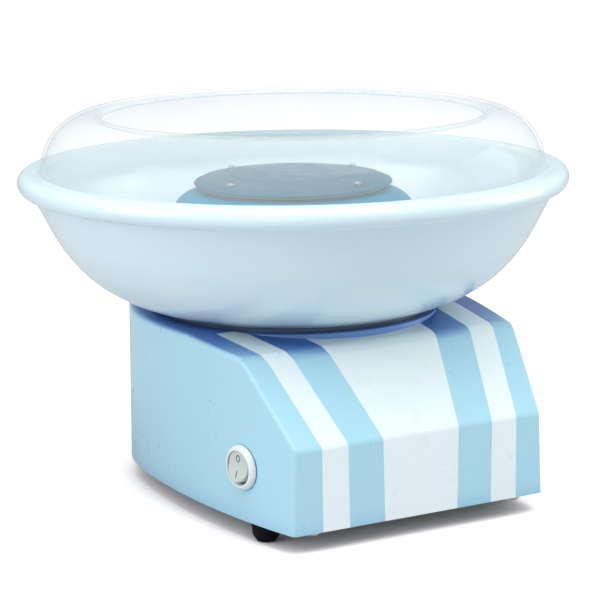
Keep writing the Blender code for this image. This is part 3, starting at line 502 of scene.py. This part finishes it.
def cylinder_mesh(name, radius, low_z, high_z, steps=96, place=None):
    bm = bmesh.new()
    bmesh.ops.create_cone(bm, cap_ends=True, segments=steps, radius1=radius, radius2=radius,
                          depth=high_z - low_z)
    bmesh.ops.translate(bm, vec=(0.0, 0.0, 0.5 * (low_z + high_z)), verts=bm.verts)
    if place is not None:
        bmesh.ops.transform(bm, matrix=place, verts=bm.verts)
    return finish_mesh(bm, name)


# ---------------------------------------------------------------- housing

WALL = 0.0025
BASE_BOTTOM_Z = 0.010
BASE_REF_TOP_Z = 0.099
BROW_Z = 0.0927
CREST_Y = -0.038
CREST_Z = 0.0982
# Right half of the housing's plan, front to back, at BASE_BOTTOM_Z and at BASE_REF_TOP_Z, as two curves each.
# Towards the back the upper one lies up to about 2 mm inside the CAD's. The lower one is the CAD's own.
LOWER_OUTLINE = (
    ((0.0742, -0.1214), (0.0840, -0.0700), (0.0845, -0.0120), (0.0745, 0.0400)),
    ((0.0745, 0.0400), (0.0672, 0.0780), (0.0400, 0.1090), (0.0, 0.1090)),
)
UPPER_OUTLINE = (
    ((0.0710, -0.1214), (0.0885, -0.0800), (0.0930, -0.0020), (0.0798, 0.0330)),
    ((0.0798, 0.0330), (0.0662, 0.0690), (0.0450, 0.1110), (0.0, 0.1110)),
)
EDGE_ROUND = 0.006
SLOPE_SHIFT = 0.45                # how far a wall's thickness moves the fold and the brow, per unit of it
SEAT_RING_R = 0.0765
SEAT_RING_TOP_Z = 0.0968
SEAT_WELL_R = 0.0723
SEAT_FLOOR_Z = 0.0915
SEAT_UNDER_Z = 0.087
NECK_R = 0.058
NECK_INNER_R = 0.0555
NECK_TOP_Z = 0.120


def bezier_point(stretch, t):
    p0, p1, p2, p3 = (Vector(p) for p in stretch)
    s = 1.0 - t
    return s * s * s * p0 + 3.0 * s * s * t * p1 + 3.0 * s * t * t * p2 + t * t * t * p3


def outline_point(outline, u, inset):
    """The outline's point at u, 0 to 2 from the front corner to the back, moved in by inset."""
    stretch = min(int(u), 1)
    t = u - stretch
    point = bezier_point(outline[stretch], t)
    if inset == 0.0:
        return point
    if u >= 2.0:
        return point - Vector((0.0, inset))
    step = 0.001
    ahead = bezier_point(outline[stretch], min(t + step, 1.0))
    behind = bezier_point(outline[stretch], max(t - step, 0.0))
    along = (ahead - behind).normalized()
    moved = point + inset * Vector((-along.y, along.x))
    if u == 0.0:
        moved.y = point.y + inset
    return moved


def wall_point(u, z, inset=0.0):
    """The wall is ruled: straight from the lower outline to the upper one."""
    low = outline_point(LOWER_OUTLINE, u, inset)
    high = outline_point(UPPER_OUTLINE, u, inset)
    flat = low.lerp(high, (z - BASE_BOTTOM_Z) / (BASE_REF_TOP_Z - BASE_BOTTOM_Z))
    return Vector((flat.x, flat.y, z))


def top_profile(inset):
    """The top's height along Y, from the front: upright front, sloped front, rise, level."""
    return (
        (FRONT_Y + inset, FOLD_Z - SLOPE_SHIFT * inset),
        (BROW_Y + SLOPE_SHIFT * inset, BROW_Z - inset),
        (CREST_Y, CREST_Z - inset),
        (1.0, CREST_Z - inset),
    )


def top_height(y, profile):
    for (y0, z0), (y1, z1) in zip(profile[:-1], profile[1:]):
        if y <= y1:
            return z0 + (z1 - z0) * (y - y0) / (y1 - y0)
    return profile[-1][1]


def bisect(test, low, high):
    for _ in range(50):
        middle = 0.5 * (low + high)
        if test(middle):
            low = middle
        else:
            high = middle
    return low


def edge_point(u, inset, profile):
    """Where the wall line at u meets the top."""
    def below(z):
        point = wall_point(u, z, inset)
        return z < top_height(point.y, profile)
    return wall_point(u, bisect(below, 0.0, BASE_REF_TOP_Z + 0.01), inset)


def find_u(y, inset, profile):
    """The outline position whose top edge point lies at y."""
    return bisect(lambda u: edge_point(u, inset, profile).y < y, 0.0, 2.0)


def spread(start, end, steps):
    return [start + (end - start) * i / steps for i in range(1, steps + 1)]


def housing_half_mesh(name, inset, low_z, weighted):
    """Right half of the body: walls, and a top of three flat fields, open at the plane X = 0."""
    profile = top_profile(inset)
    brow_u = find_u(BROW_Y + SLOPE_SHIFT * inset, inset, profile)
    crest_u = find_u(CREST_Y, inset, profile)
    brow_index, crest_index = 8, 18
    stations = [0.0] + spread(0.0, brow_u, brow_index) + spread(brow_u, crest_u, crest_index - brow_index)
    stations += spread(crest_u, 1.0, 14) + spread(1.0, 2.0, 32)
    bm = bmesh.new()
    low = [bm.verts.new(wall_point(u, low_z, inset)) for u in stations]
    high = [bm.verts.new(edge_point(u, inset, profile)) for u in stations]
    centre_low = bm.verts.new((0.0, low[0].co.y, low_z))
    centre_fold = bm.verts.new((0.0, high[0].co.y, high[0].co.z))
    centre_brow = bm.verts.new((0.0, high[brow_index].co.y, high[brow_index].co.z))
    centre_crest = bm.verts.new((0.0, high[crest_index].co.y, high[crest_index].co.z))
    for vert in (low[-1], high[-1]):
        vert.co.x = 0.0
    for i in range(len(stations) - 1):
        bm.faces.new((low[i], low[i + 1], high[i + 1], high[i]))
    bm.faces.new((centre_low, low[0], high[0], centre_fold))
    bm.faces.new((centre_fold, *high[:brow_index + 1], centre_brow))
    bm.faces.new((centre_brow, *high[brow_index:crest_index + 1], centre_crest))
    bm.faces.new((centre_crest, *high[crest_index:]))
    bm.faces.new((centre_low, *reversed(low)))
    if weighted:
        weights = bm.edges.layers.float.new("bevel_weight_edge")

        def weigh(a, b, value):
            bm.edges.get((a, b))[weights] = value

        for i in range(len(stations) - 1):
            weigh(high[i], high[i + 1], 0.25 if i < brow_index else 0.60)
        weigh(low[0], high[0], 0.36)
        weigh(high[0], centre_fold, 0.32)
        weigh(high[brow_index], centre_brow, 1.0)
    mesh = bpy.data.meshes.new(name)
    bm.to_mesh(mesh)
    bm.free()
    return mesh


def body_object(name, inset, low_z, weighted):
    body = bpy.data.objects.new(name, housing_half_mesh(name, inset, low_z, weighted))
    bpy.context.scene.collection.objects.link(body)
    mirror = body.modifiers.new("Left half", "MIRROR")
    mirror.use_clip = True
    mirror.merge_threshold = 0.00001
    if weighted:
        bevel = body.modifiers.new("Rounded edges", "BEVEL")
        bevel.width = EDGE_ROUND
        bevel.segments = 7
        bevel.limit_method = "WEIGHT"
    bpy.context.view_layer.update()
    return apply_modifiers(body)


def make_housing(switch_frame, grommet_frame):
    shell = body_object("housing_shell", 0.0, BASE_BOTTOM_Z, True)
    inside = body_object("housing_inside", WALL, 0.004, False)
    cut(shell, inside.data, "inside")
    bpy.data.objects.remove(inside)
    cut(shell, cylinder_mesh("seat_hole", SEAT_RING_R - 0.0005, 0.080, 0.110, TURN_STEPS), "seat_hole")
    cut(shell, cylinder_mesh("switch_hole", 0.0105, -0.010, 0.010, 64, switch_frame), "switch_hole")
    cut(shell, cylinder_mesh("cord_hole", 0.0058, -0.015, 0.015, 64, grommet_frame), "cord_hole")
    shell.data.shade_smooth()
    shell.data.set_sharp_from_angle(angle=math.radians(35.0))
    weighted = shell.modifiers.new("Even shading", "WEIGHTED_NORMAL")
    weighted.keep_sharp = True
    shell.data.materials.clear()
    shell.data.materials.append(LOOK["blue_plastic"])
    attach(shell, "base")
    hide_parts("base_housing")

    seat = filleted([
        (SEAT_RING_R, SEAT_RING_TOP_Z, 0.0010),
        (SEAT_RING_R, SEAT_UNDER_Z),
        (NECK_INNER_R, SEAT_UNDER_Z),
        (NECK_INNER_R, NECK_TOP_Z, 0.0006),
        (NECK_R, NECK_TOP_Z, 0.0006),
        (NECK_R, SEAT_FLOOR_Z, 0.0010),
        (SEAT_WELL_R, SEAT_FLOOR_Z, 0.0008),
        (SEAT_WELL_R, SEAT_RING_TOP_Z, 0.0006),
    ])
    add_piece("bowl_seat", turned_mesh("bowl_seat", seat), "base", "blue_plastic", look="seat_shade_blue")


# ---------------------------------------------------------------- switch, feet, grommet

def frame_of_node(place, out, up):
    """A frame at place: local Z points out, local Y runs up."""
    out = Vector(out).normalized()
    up = (Vector(up) - out * out.dot(Vector(up))).normalized()
    right = up.cross(out)
    return Matrix.Translation(place) @ Matrix((right, up, out)).transposed().to_4x4()


SWITCH_Y = -0.0824
SWITCH_Z = 0.0377
ROCKER_TILT = 9.0
ROCKER_R = 0.0079


def switch_matrix():
    """The switch's frame on the left wall, worked out as the wall is."""
    u = bisect(lambda t: wall_point(t, SWITCH_Z).y < SWITCH_Y, 0.0, 1.0)
    place = wall_point(u, SWITCH_Z)
    along = wall_point(u + 0.01, SWITCH_Z) - wall_point(u - 0.01, SWITCH_Z)
    up = wall_point(u, SWITCH_Z + 0.005) - wall_point(u, SWITCH_Z - 0.005)
    for vector in (place, along, up):
        vector.x = -vector.x
    out = up.cross(along).normalized()
    if out.x > 0.0:
        out = -out
    return frame_of_node(place, out, up)


def grommet_matrix():
    place = wall_point(2.0, 0.030)
    return Matrix.Translation(place) @ Matrix.Rotation(math.radians(-90.0), 4, "X")


def make_switch(place):
    bezel = arc((0.0088, 0.0004), 0.0027, 8.0, 80.0, 8)
    bezel = [(0.0115, 0.0002), (0.01155, 0.0005)] + bezel
    bezel += [(0.0089, 0.0030), (0.0087, 0.0027), (0.0087, -0.0130), (0.0020, -0.0130), (0.0020, -0.0150),
              (0.0102, -0.0150), (0.0102, 0.0002)]
    add_piece("switch_bezel", turned_mesh("switch_bezel", bezel, 96, 40.0, place), "base", "white_plastic",
              "switch_body")

    sink = Matrix.Translation((0.0, 0.0, -0.0030))
    pivot = place @ sink @ Matrix.Rotation(math.radians(-ROCKER_TILT), 4, "X")
    centre_z = 0.0056
    mesh = rocker_mesh(centre_z)
    mesh.transform(pivot)
    add_piece("switch_button", mesh, "rocker", "white_plastic", "switch_rocker", look="rocker_grey")

    for name, mark, side in (("mark_off", ring_mark, 1.0), ("mark_on", bar_mark, -1.0)):
        tilt = Matrix.Rotation(math.radians(side * ROCKER_TILT), 4, "X")
        lift = Matrix.Translation((0.0, 0.0, centre_z))
        slide = Matrix.Translation((0.0, side * 0.0040, 0.00006))
        bm = mark()
        bmesh.ops.transform(bm, matrix=pivot @ lift @ tilt @ slide, verts=bm.verts)
        add_piece(name, finish_mesh(bm, name), "rocker", "black_plastic", look="marking")


def rocker_mesh(centre_z):
    """A round button whose two halves rise from a valley along local X, with softened edges."""
    steps, soft, valley_r, low_z = 96, 0.0006, 0.0003, -0.0050
    bm = bmesh.new()

    def top_z(r, angle):
        y = r * math.sin(angle)
        slope = math.tan(math.radians(ROCKER_TILT))
        height = centre_z + math.sqrt((slope * y) ** 2 + valley_r ** 2)
        inset = ROCKER_R - r
        if inset < soft:
            height -= soft - math.sqrt(max(soft * soft - (soft - inset) ** 2, 0.0))
        return height

    centre = bm.verts.new((0.0, 0.0, top_z(0.0, 0.0)))
    radii = [ROCKER_R * (k / 10.0) for k in range(1, 9)]
    radii += [ROCKER_R - soft * (1.0 - math.sin(math.radians(15.0 * k))) for k in range(7)]
    rows = []
    for r in radii:
        rows.append([bm.verts.new((r * math.cos(math.tau * i / steps), r * math.sin(math.tau * i / steps),
                                   top_z(r, math.tau * i / steps))) for i in range(steps)])
    rows.append([bm.verts.new((vert.co.x, vert.co.y, low_z)) for vert in rows[-1]])
    bottom = bm.verts.new((0.0, 0.0, low_z))
    for i in range(steps):
        k = (i + 1) % steps
        bm.faces.new((centre, rows[0][i], rows[0][k]))
        bm.faces.new((bottom, rows[-1][k], rows[-1][i]))
        for a, b in zip(rows[:-1], rows[1:]):
            bm.faces.new((a[i], b[i], b[k], a[k]))
    return finish_mesh(bm, "switch_button", 50.0)


def ring_mark():
    """The off mark: a flat ring, a little taller than wide."""
    bm = bmesh.new()
    steps, thick = 40, 0.00006
    rows = []
    for r, z in ((0.00185, 0.0), (0.00185, thick), (0.00130, thick), (0.00130, 0.0)):
        rows.append([bm.verts.new((0.85 * r * math.cos(math.tau * i / steps),
                                   r * math.sin(math.tau * i / steps), z)) for i in range(steps)])
    for j in range(4):
        a, b = rows[j], rows[(j + 1) % 4]
        for i in range(steps):
            k = (i + 1) % steps
            bm.faces.new((a[i], a[k], b[k], b[i]))
    return bm


def bar_mark():
    """The on mark: a short upright bar."""
    bm = bmesh.new()
    bmesh.ops.create_cube(bm, size=1.0)
    bmesh.ops.scale(bm, vec=(0.00060, 0.0036, 0.00006), verts=bm.verts)
    bmesh.ops.translate(bm, vec=(0.0, 0.0, 0.00003), verts=bm.verts)
    return bm


def make_feet():
    outline = filleted([
        (0.0, 0.0), (0.0046, 0.0, 0.0012), (0.0068, 0.0032, 0.0030), (0.0076, 0.0097, 0.0006),
        (0.0027, 0.0097), (0.0027, 0.0131), (0.0038, 0.0131, 0.0004), (0.0020, 0.0165, 0.0004), (0.0, 0.0165),
    ])
    for node in ("foot_front_left", "foot_front_right", "foot_back_left", "foot_back_right"):
        low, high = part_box(node)
        centre = 0.5 * (low + high)
        place = Matrix.Translation((centre.x, centre.y, 0.0))
        add_piece(f"{node}_pad", turned_mesh(f"{node}_pad", outline, 64, 35.0, place), "base", "black_rubber",
                  node)


def make_grommet(place):
    neck = 0.0055
    outline = filleted([
        (0.0045, 0.0036, 0.0006), (0.0075, 0.0020, 0.0010), (0.0080, 0.0006, 0.0003), (neck, 0.0006),
        (neck, -0.0034), (neck + 0.0016, -0.0036, 0.0005), (neck + 0.0010, -0.0056, 0.0005),
        (0.0034, -0.0056), (0.0034, 0.0030, 0.0004),
    ])
    add_piece("cord_inlet", turned_mesh("cord_inlet", outline, 64, 35.0, place), "base", "black_rubber",
              "cord_grommet")


# ---------------------------------------------------------------- bowl and clear ring

BOWL_RIM_R = 0.145
BOWL_RIM_Z = 0.1663
BOWL_NOSE_R = 0.0058
BOWL_FOOT_R = 0.0716
BOWL_HOLE_R = 0.0690
BOWL_LEDGE_Z = 0.1711
BOWL_SHADE_BAND_TOP_Z = 0.0998          # the foot band of painted shade ends here


def make_bowl():
    nose = (BOWL_RIM_R - BOWL_NOSE_R, BOWL_RIM_Z)
    foot_z = SEAT_FLOOR_Z + 0.0003
    outer = splined([(0.1372, 0.1600), (0.1322, 0.1500), (0.1252, 0.1367), (0.1205, 0.1297), (0.1139, 0.1217),
                     (0.1039, 0.1129), (0.0898, 0.1049), (0.0760, 0.1000), (0.0718, 0.0988)])
    inner = splined([(0.0735, 0.1019), (0.0760, 0.1024), (0.0889, 0.1071), (0.1027, 0.1152), (0.1122, 0.1234),
                     (0.1185, 0.1311), (0.1230, 0.1380), (0.1299, 0.1524), (0.1302, 0.1600)])
    outline = [(0.1332, BOWL_LEDGE_Z), (0.1334, 0.1717)]
    outline += splined([(0.1338, 0.1720), (0.1350, 0.1723), (nose[0], BOWL_RIM_Z + BOWL_NOSE_R)], 4)[:-1]
    outline += arc(nose, BOWL_NOSE_R, 90.0, -80.0, 14)
    outline += [(0.1390, 0.1606), (0.1380, 0.1608)]
    outline += outer
    outline += filleted([(BOWL_FOOT_R, 0.0986), (BOWL_FOOT_R, foot_z, 0.0004), (BOWL_HOLE_R, foot_z, 0.0004),
                         (BOWL_HOLE_R, 0.1078, 0.0006), (0.0712, 0.1078, 0.0006), (0.0722, 0.1026)])
    outline += inner
    outline += [(0.1302, BOWL_LEDGE_Z)]
    mesh = turned_mesh("bowl_body", outline, 200, 40.0)
    bowl = add_piece("bowl_body", mesh, "bowl", "pale_plastic", "bowl")
    bowl.data.materials.append(LOOK["pale_lit_inside"])
    bowl.data.materials.append(LOOK["foot_shade_slate"])
    for face in bowl.data.polygons:
        middle, normal = face.center, face.normal
        inward = middle.x * normal.x + middle.y * normal.y < 0.0
        # painted light: the bowl's inward faces take the lighter copy of its plastic
        if inward and math.hypot(middle.x, middle.y) < BOWL_RIM_R - 2.0 * BOWL_NOSE_R:
            face.material_index = 1
        # painted shade: faces low on the foot take the dark slate
        elif middle.z < BOWL_SHADE_BAND_TOP_Z:
            face.material_index = 2


def make_splash_ring():
    """A quarter-ellipse shoulder round the bowl, with a rolled lip at its opening."""
    radius, crest_r, crest_z, thick = 0.1325, 0.1045, 0.2015, 0.0018
    foot_z, shoulder_z = BOWL_LEDGE_Z + 0.0003, 0.1735
    lip_r, lip_z = 0.1000, 0.2015 - 0.0034

    def shoulder(offset, start, end, steps=26):
        points = []
        for i in range(steps + 1):
            angle = math.radians(start + (end - start) * i / steps)
            points.append((crest_r + (radius - crest_r - offset) * math.cos(angle),
                           shoulder_z + (crest_z - shoulder_z - offset) * math.sin(angle)))
        return points

    outline = [(lip_r, lip_z + 0.0004), (lip_r + 0.0005, lip_z + 0.0014), (lip_r + 0.0018, lip_z + 0.0026)]
    outline += shoulder(0.0, 90.0, 0.0)
    outline += filleted([(radius, shoulder_z - 0.0002), (radius, foot_z, 0.0003),
                         (radius - thick, foot_z, 0.0003), (radius - thick, shoulder_z - 0.0002)])
    outline += shoulder(thick, 0.0, 90.0)
    outline += [(lip_r + 0.0028, lip_z + 0.0012), (lip_r + 0.0018, lip_z), (lip_r + 0.0006, lip_z - 0.0004)]
    add_piece("splash_ring", turned_mesh("splash_ring", outline, 200, 40.0), "ring", "clear_plastic",
              "clear_ring")


# ---------------------------------------------------------------- heater and spinning head

def make_shroud():
    outer = splined([(0.0460, 0.1606), (0.0500, 0.1598), (0.0562, 0.1576), (0.0606, 0.1546), (0.0638, 0.1500),
                     (0.0657, 0.1430), (0.0665, 0.1330)], 5)
    inner = splined([(0.0643, 0.1330), (0.0635, 0.1424), (0.0618, 0.1488), (0.0591, 0.1530), (0.0553, 0.1556),
                     (0.0500, 0.1578), (0.0460, 0.1588)], 5)
    low = SEAT_FLOOR_Z + 0.0003
    outline = outer + [(0.0665, low + 0.0004), (0.0661, low), (0.0647, low), (0.0643, low + 0.0004)] + inner
    outline += [(0.0455, 0.1597)]
    add_piece("shroud_dome", turned_mesh("shroud_dome", outline, TURN_STEPS, 40.0), "base", "slate_plastic",
              "heater_shroud", look="shroud_blue")


def make_heater():
    low = NECK_TOP_Z + 0.0003
    pan = filleted([
        (0.0575, 0.1480, 0.0004), (0.0575, low, 0.0020), (0.0120, low, 0.0003), (0.0120, low + 0.0012, 0.0003),
        (0.0563, low + 0.0012, 0.0012), (0.0563, 0.1480, 0.0004),
    ])
    add_piece("heater_tray", turned_mesh("heater_tray", pan), "base", "aluminium", "heater_pan")
    tube = arc((0.0380, 0.1455), 0.0032, 0.0, 345.0, 23)
    add_piece("heater_tube", turned_mesh("heater_tube", tube, 120), "base", "steel", "heating_ring")


HEAD_SCREW_DEGREES = tuple(-75.0 + 90.0 * i for i in range(4))


def make_head():
    cover = filleted([
        (0.0120, 0.1636, 0.0004), (0.0120, 0.1650, 0.0004),
        (0.0190, 0.1650, 0.0010), (0.0212, 0.1684, 0.0006), (0.0232, 0.1692, 0.0006), (0.0330, 0.1684, 0.0008),
        (0.0338, 0.1676, 0.0006), (0.0480, 0.1660, 0.0008), (0.0490, 0.1651, 0.0006),
        (0.0518, 0.1643, 0.0006), (0.0525, 0.1632, 0.0004), (0.0516, 0.1624, 0.0004), (0.0500, 0.1634),
        (0.0375, 0.1661), (0.0240, 0.1674), (0.0205, 0.1636, 0.0008),
    ], 5)
    add_piece("head_disc", turned_mesh("head_disc", cover, TURN_STEPS, 50.0), "head", "slate_plastic",
              "head_cover")
    pan = filleted([
        (0.0498, 0.1626, 0.0003), (0.0498, 0.1613, 0.0003), (0.0432, 0.1613, 0.0004), (0.0410, 0.1535, 0.0020),
        (0.0062, 0.1535, 0.0006), (0.0062, 0.1400, 0.0006), (0.0028, 0.1400), (0.0028, 0.1590),
        (0.0070, 0.1590, 0.0004), (0.0070, 0.1550, 0.0004), (0.0400, 0.1550, 0.0012), (0.0421, 0.1626, 0.0003),
    ], 5)
    add_piece("head_dish", turned_mesh("head_dish", pan, TURN_STEPS), "head", "aluminium", "head_pan",
              look="dull_aluminium")
    make_head_screws()


def screw_head_mesh(name, radius, height, place):
    """A small domed screw head with a cross recess, its crown at local z = height."""
    outline = [(0.0, 0.0), (radius, 0.0), (radius, 0.35 * height)]
    outline += [(radius * math.cos(a), height * (0.35 + 0.65 * math.sin(a)))
                for a in (math.radians(15.0 * k) for k in range(1, 7))]
    mesh = turned_mesh(name, outline[:-1] + [(0.0, height)], 48, 60.0)
    piece = bpy.data.objects.new(name, mesh)
    bpy.context.scene.collection.objects.link(piece)
    arm, width = 0.62 * radius, 0.16 * radius
    for number, size in enumerate(((arm, width), (width, arm))):
        bm = bmesh.new()
        bmesh.ops.create_cube(bm, size=1.0)
        bmesh.ops.scale(bm, vec=(2.0 * size[0], 2.0 * size[1], height), verts=bm.verts)
        bmesh.ops.translate(bm, vec=(0.0, 0.0, height), verts=bm.verts)
        cut(piece, finish_mesh(bm, f"{name}_slot"), f"slot_{number}")
    mesh = piece.data
    bpy.data.objects.remove(piece)
    mesh.transform(place)
    mesh.shade_smooth()
    mesh.set_sharp_from_angle(angle=math.radians(40.0))
    return mesh


def make_head_screws():
    for number, degrees in enumerate(HEAD_SCREW_DEGREES, start=1):
        node = f"head_screw_{number}"
        low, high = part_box(node)
        centre = 0.5 * (low + high)
        turn = Matrix.Rotation(math.radians(degrees + 20.0 * number), 4, "Z")
        place = Matrix.Translation((centre.x, centre.y, high.z - 0.0009)) @ turn
        mesh = screw_head_mesh(f"{node}_head", 0.0018, 0.0009, place)
        add_piece(f"{node}_head", mesh, "head", "steel")


def make_cover_screws():
    for node in ("cover_screw_front_left", "cover_screw_front_right", "cover_screw_back_left",
                 "cover_screw_back_right"):
        low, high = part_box(node)
        centre = 0.5 * (low + high)
        flip = Matrix.Rotation(math.radians(180.0), 4, "X")
        place = Matrix.Translation((centre.x, centre.y, BASE_BOTTOM_Z - 0.0003)) @ flip
        add_piece(f"{node}_head", screw_head_mesh(f"{node}_head", 0.0034, 0.0021, place), "base", "steel")


# ---------------------------------------------------------------- CAD nodes that stay

def dress_cad_nodes():
    slots = {row["node"]: row["material_slot"] for row in frame["record"]["subparts"]}
    for name, node in frame["nodes"].items():
        node.data.materials.clear()
        node.data.materials.append(LOOK["dull_aluminium" if name == "head_band" else slots[name]])
        node.data.shade_smooth()
        node.data.set_sharp_from_angle(angle=math.radians(35.0))


# ---------------------------------------------------------------- floor and light

FLOOR_GLOW = 0.80                 # lifts the floor to plain white, as on a photographer's light table


def make_floor():
    bm = bmesh.new()
    bmesh.ops.create_grid(bm, x_segments=1, y_segments=1, size=6.0)
    floor = bpy.data.objects.new("floor", finish_mesh(bm, "floor"))
    bpy.context.scene.collection.objects.link(floor)
    look = Look("floor", (0.60, 0.59, 0.61), 0.8)
    look.set("Specular IOR Level", 0.1)
    look.set("Emission Color", (1.0, 0.99, 1.0, 1.0))
    seen = look.nodes.new("ShaderNodeLightPath").outputs["Is Camera Ray"]
    # painted shadow: the glow fades out where the machine hems the floor in, darkening the floor round its foot
    glow_outside_painted_shadow = look.math("SUBTRACT", 1.0, closeness(look, 0.040, 0.05, 0.90))
    glow = look.math("MULTIPLY", glow_outside_painted_shadow, FLOOR_GLOW)
    look.link(look.math("MULTIPLY", seen, glow), look.shader.inputs["Emission Strength"])
    floor.data.materials.append(look.material)


def add_area_light(name, place, target, size, power):
    data = bpy.data.lights.new(name, "AREA")
    data.shape = "RECTANGLE"
    data.size, data.size_y = size
    data.energy = power
    light = bpy.data.objects.new(name, data)
    light.location = place
    light.rotation_mode = "QUATERNION"
    light.rotation_quaternion = (Vector(place) - Vector(target)).to_track_quat("Z", "Y")
    bpy.context.scene.collection.objects.link(light)


SKY_STRENGTH = 0.52               # what the room lights with; the backdrop itself looks white


def make_lights():
    """Soft light from above and both sides, in a room whose backdrop looks white."""
    world = bpy.data.worlds.new("studio")
    bpy.context.scene.world = world
    world.use_nodes = True
    background = world.node_tree.nodes["Background"]
    background.inputs["Color"].default_value = (1.0, 1.0, 1.0, 1.0)
    tree = world.node_tree
    seen = tree.nodes.new("ShaderNodeLightPath").outputs["Is Camera Ray"]
    strength = tree.nodes.new("ShaderNodeMapRange")
    tree.links.new(seen, strength.inputs["Value"])
    strength.inputs["To Min"].default_value = SKY_STRENGTH
    strength.inputs["To Max"].default_value = 1.0
    tree.links.new(strength.outputs["Result"], background.inputs["Strength"])
    add_area_light("top", (-0.15, -0.65, 1.45), (0.0, 0.0, 0.1), (1.2, 1.2), 17.5)
    add_area_light("left", (-1.5, 0.1, 0.7), (0.0, 0.0, 0.15), (0.9, 1.2), 10.5)
    add_area_light("right", (1.5, -0.5, 0.5), (0.0, 0.0, 0.15), (0.9, 1.2), 9.5)
    bpy.context.scene.view_settings.view_transform = "Standard"
    # a line of sight can pass the clear ring's walls many times
    bpy.context.scene.cycles.transparent_max_bounces = 32


# ---------------------------------------------------------------- build

make_camera()
dress_cad_nodes()
SWITCH_FRAME = switch_matrix()
GROMMET_FRAME = grommet_matrix()
make_housing(SWITCH_FRAME, GROMMET_FRAME)
make_switch(SWITCH_FRAME)
make_feet()
make_grommet(GROMMET_FRAME)
make_bowl()
make_splash_ring()
make_shroud()
make_heater()
make_head()
make_cover_screws()
make_floor()
make_lights()

bpy.context.view_layer.update()
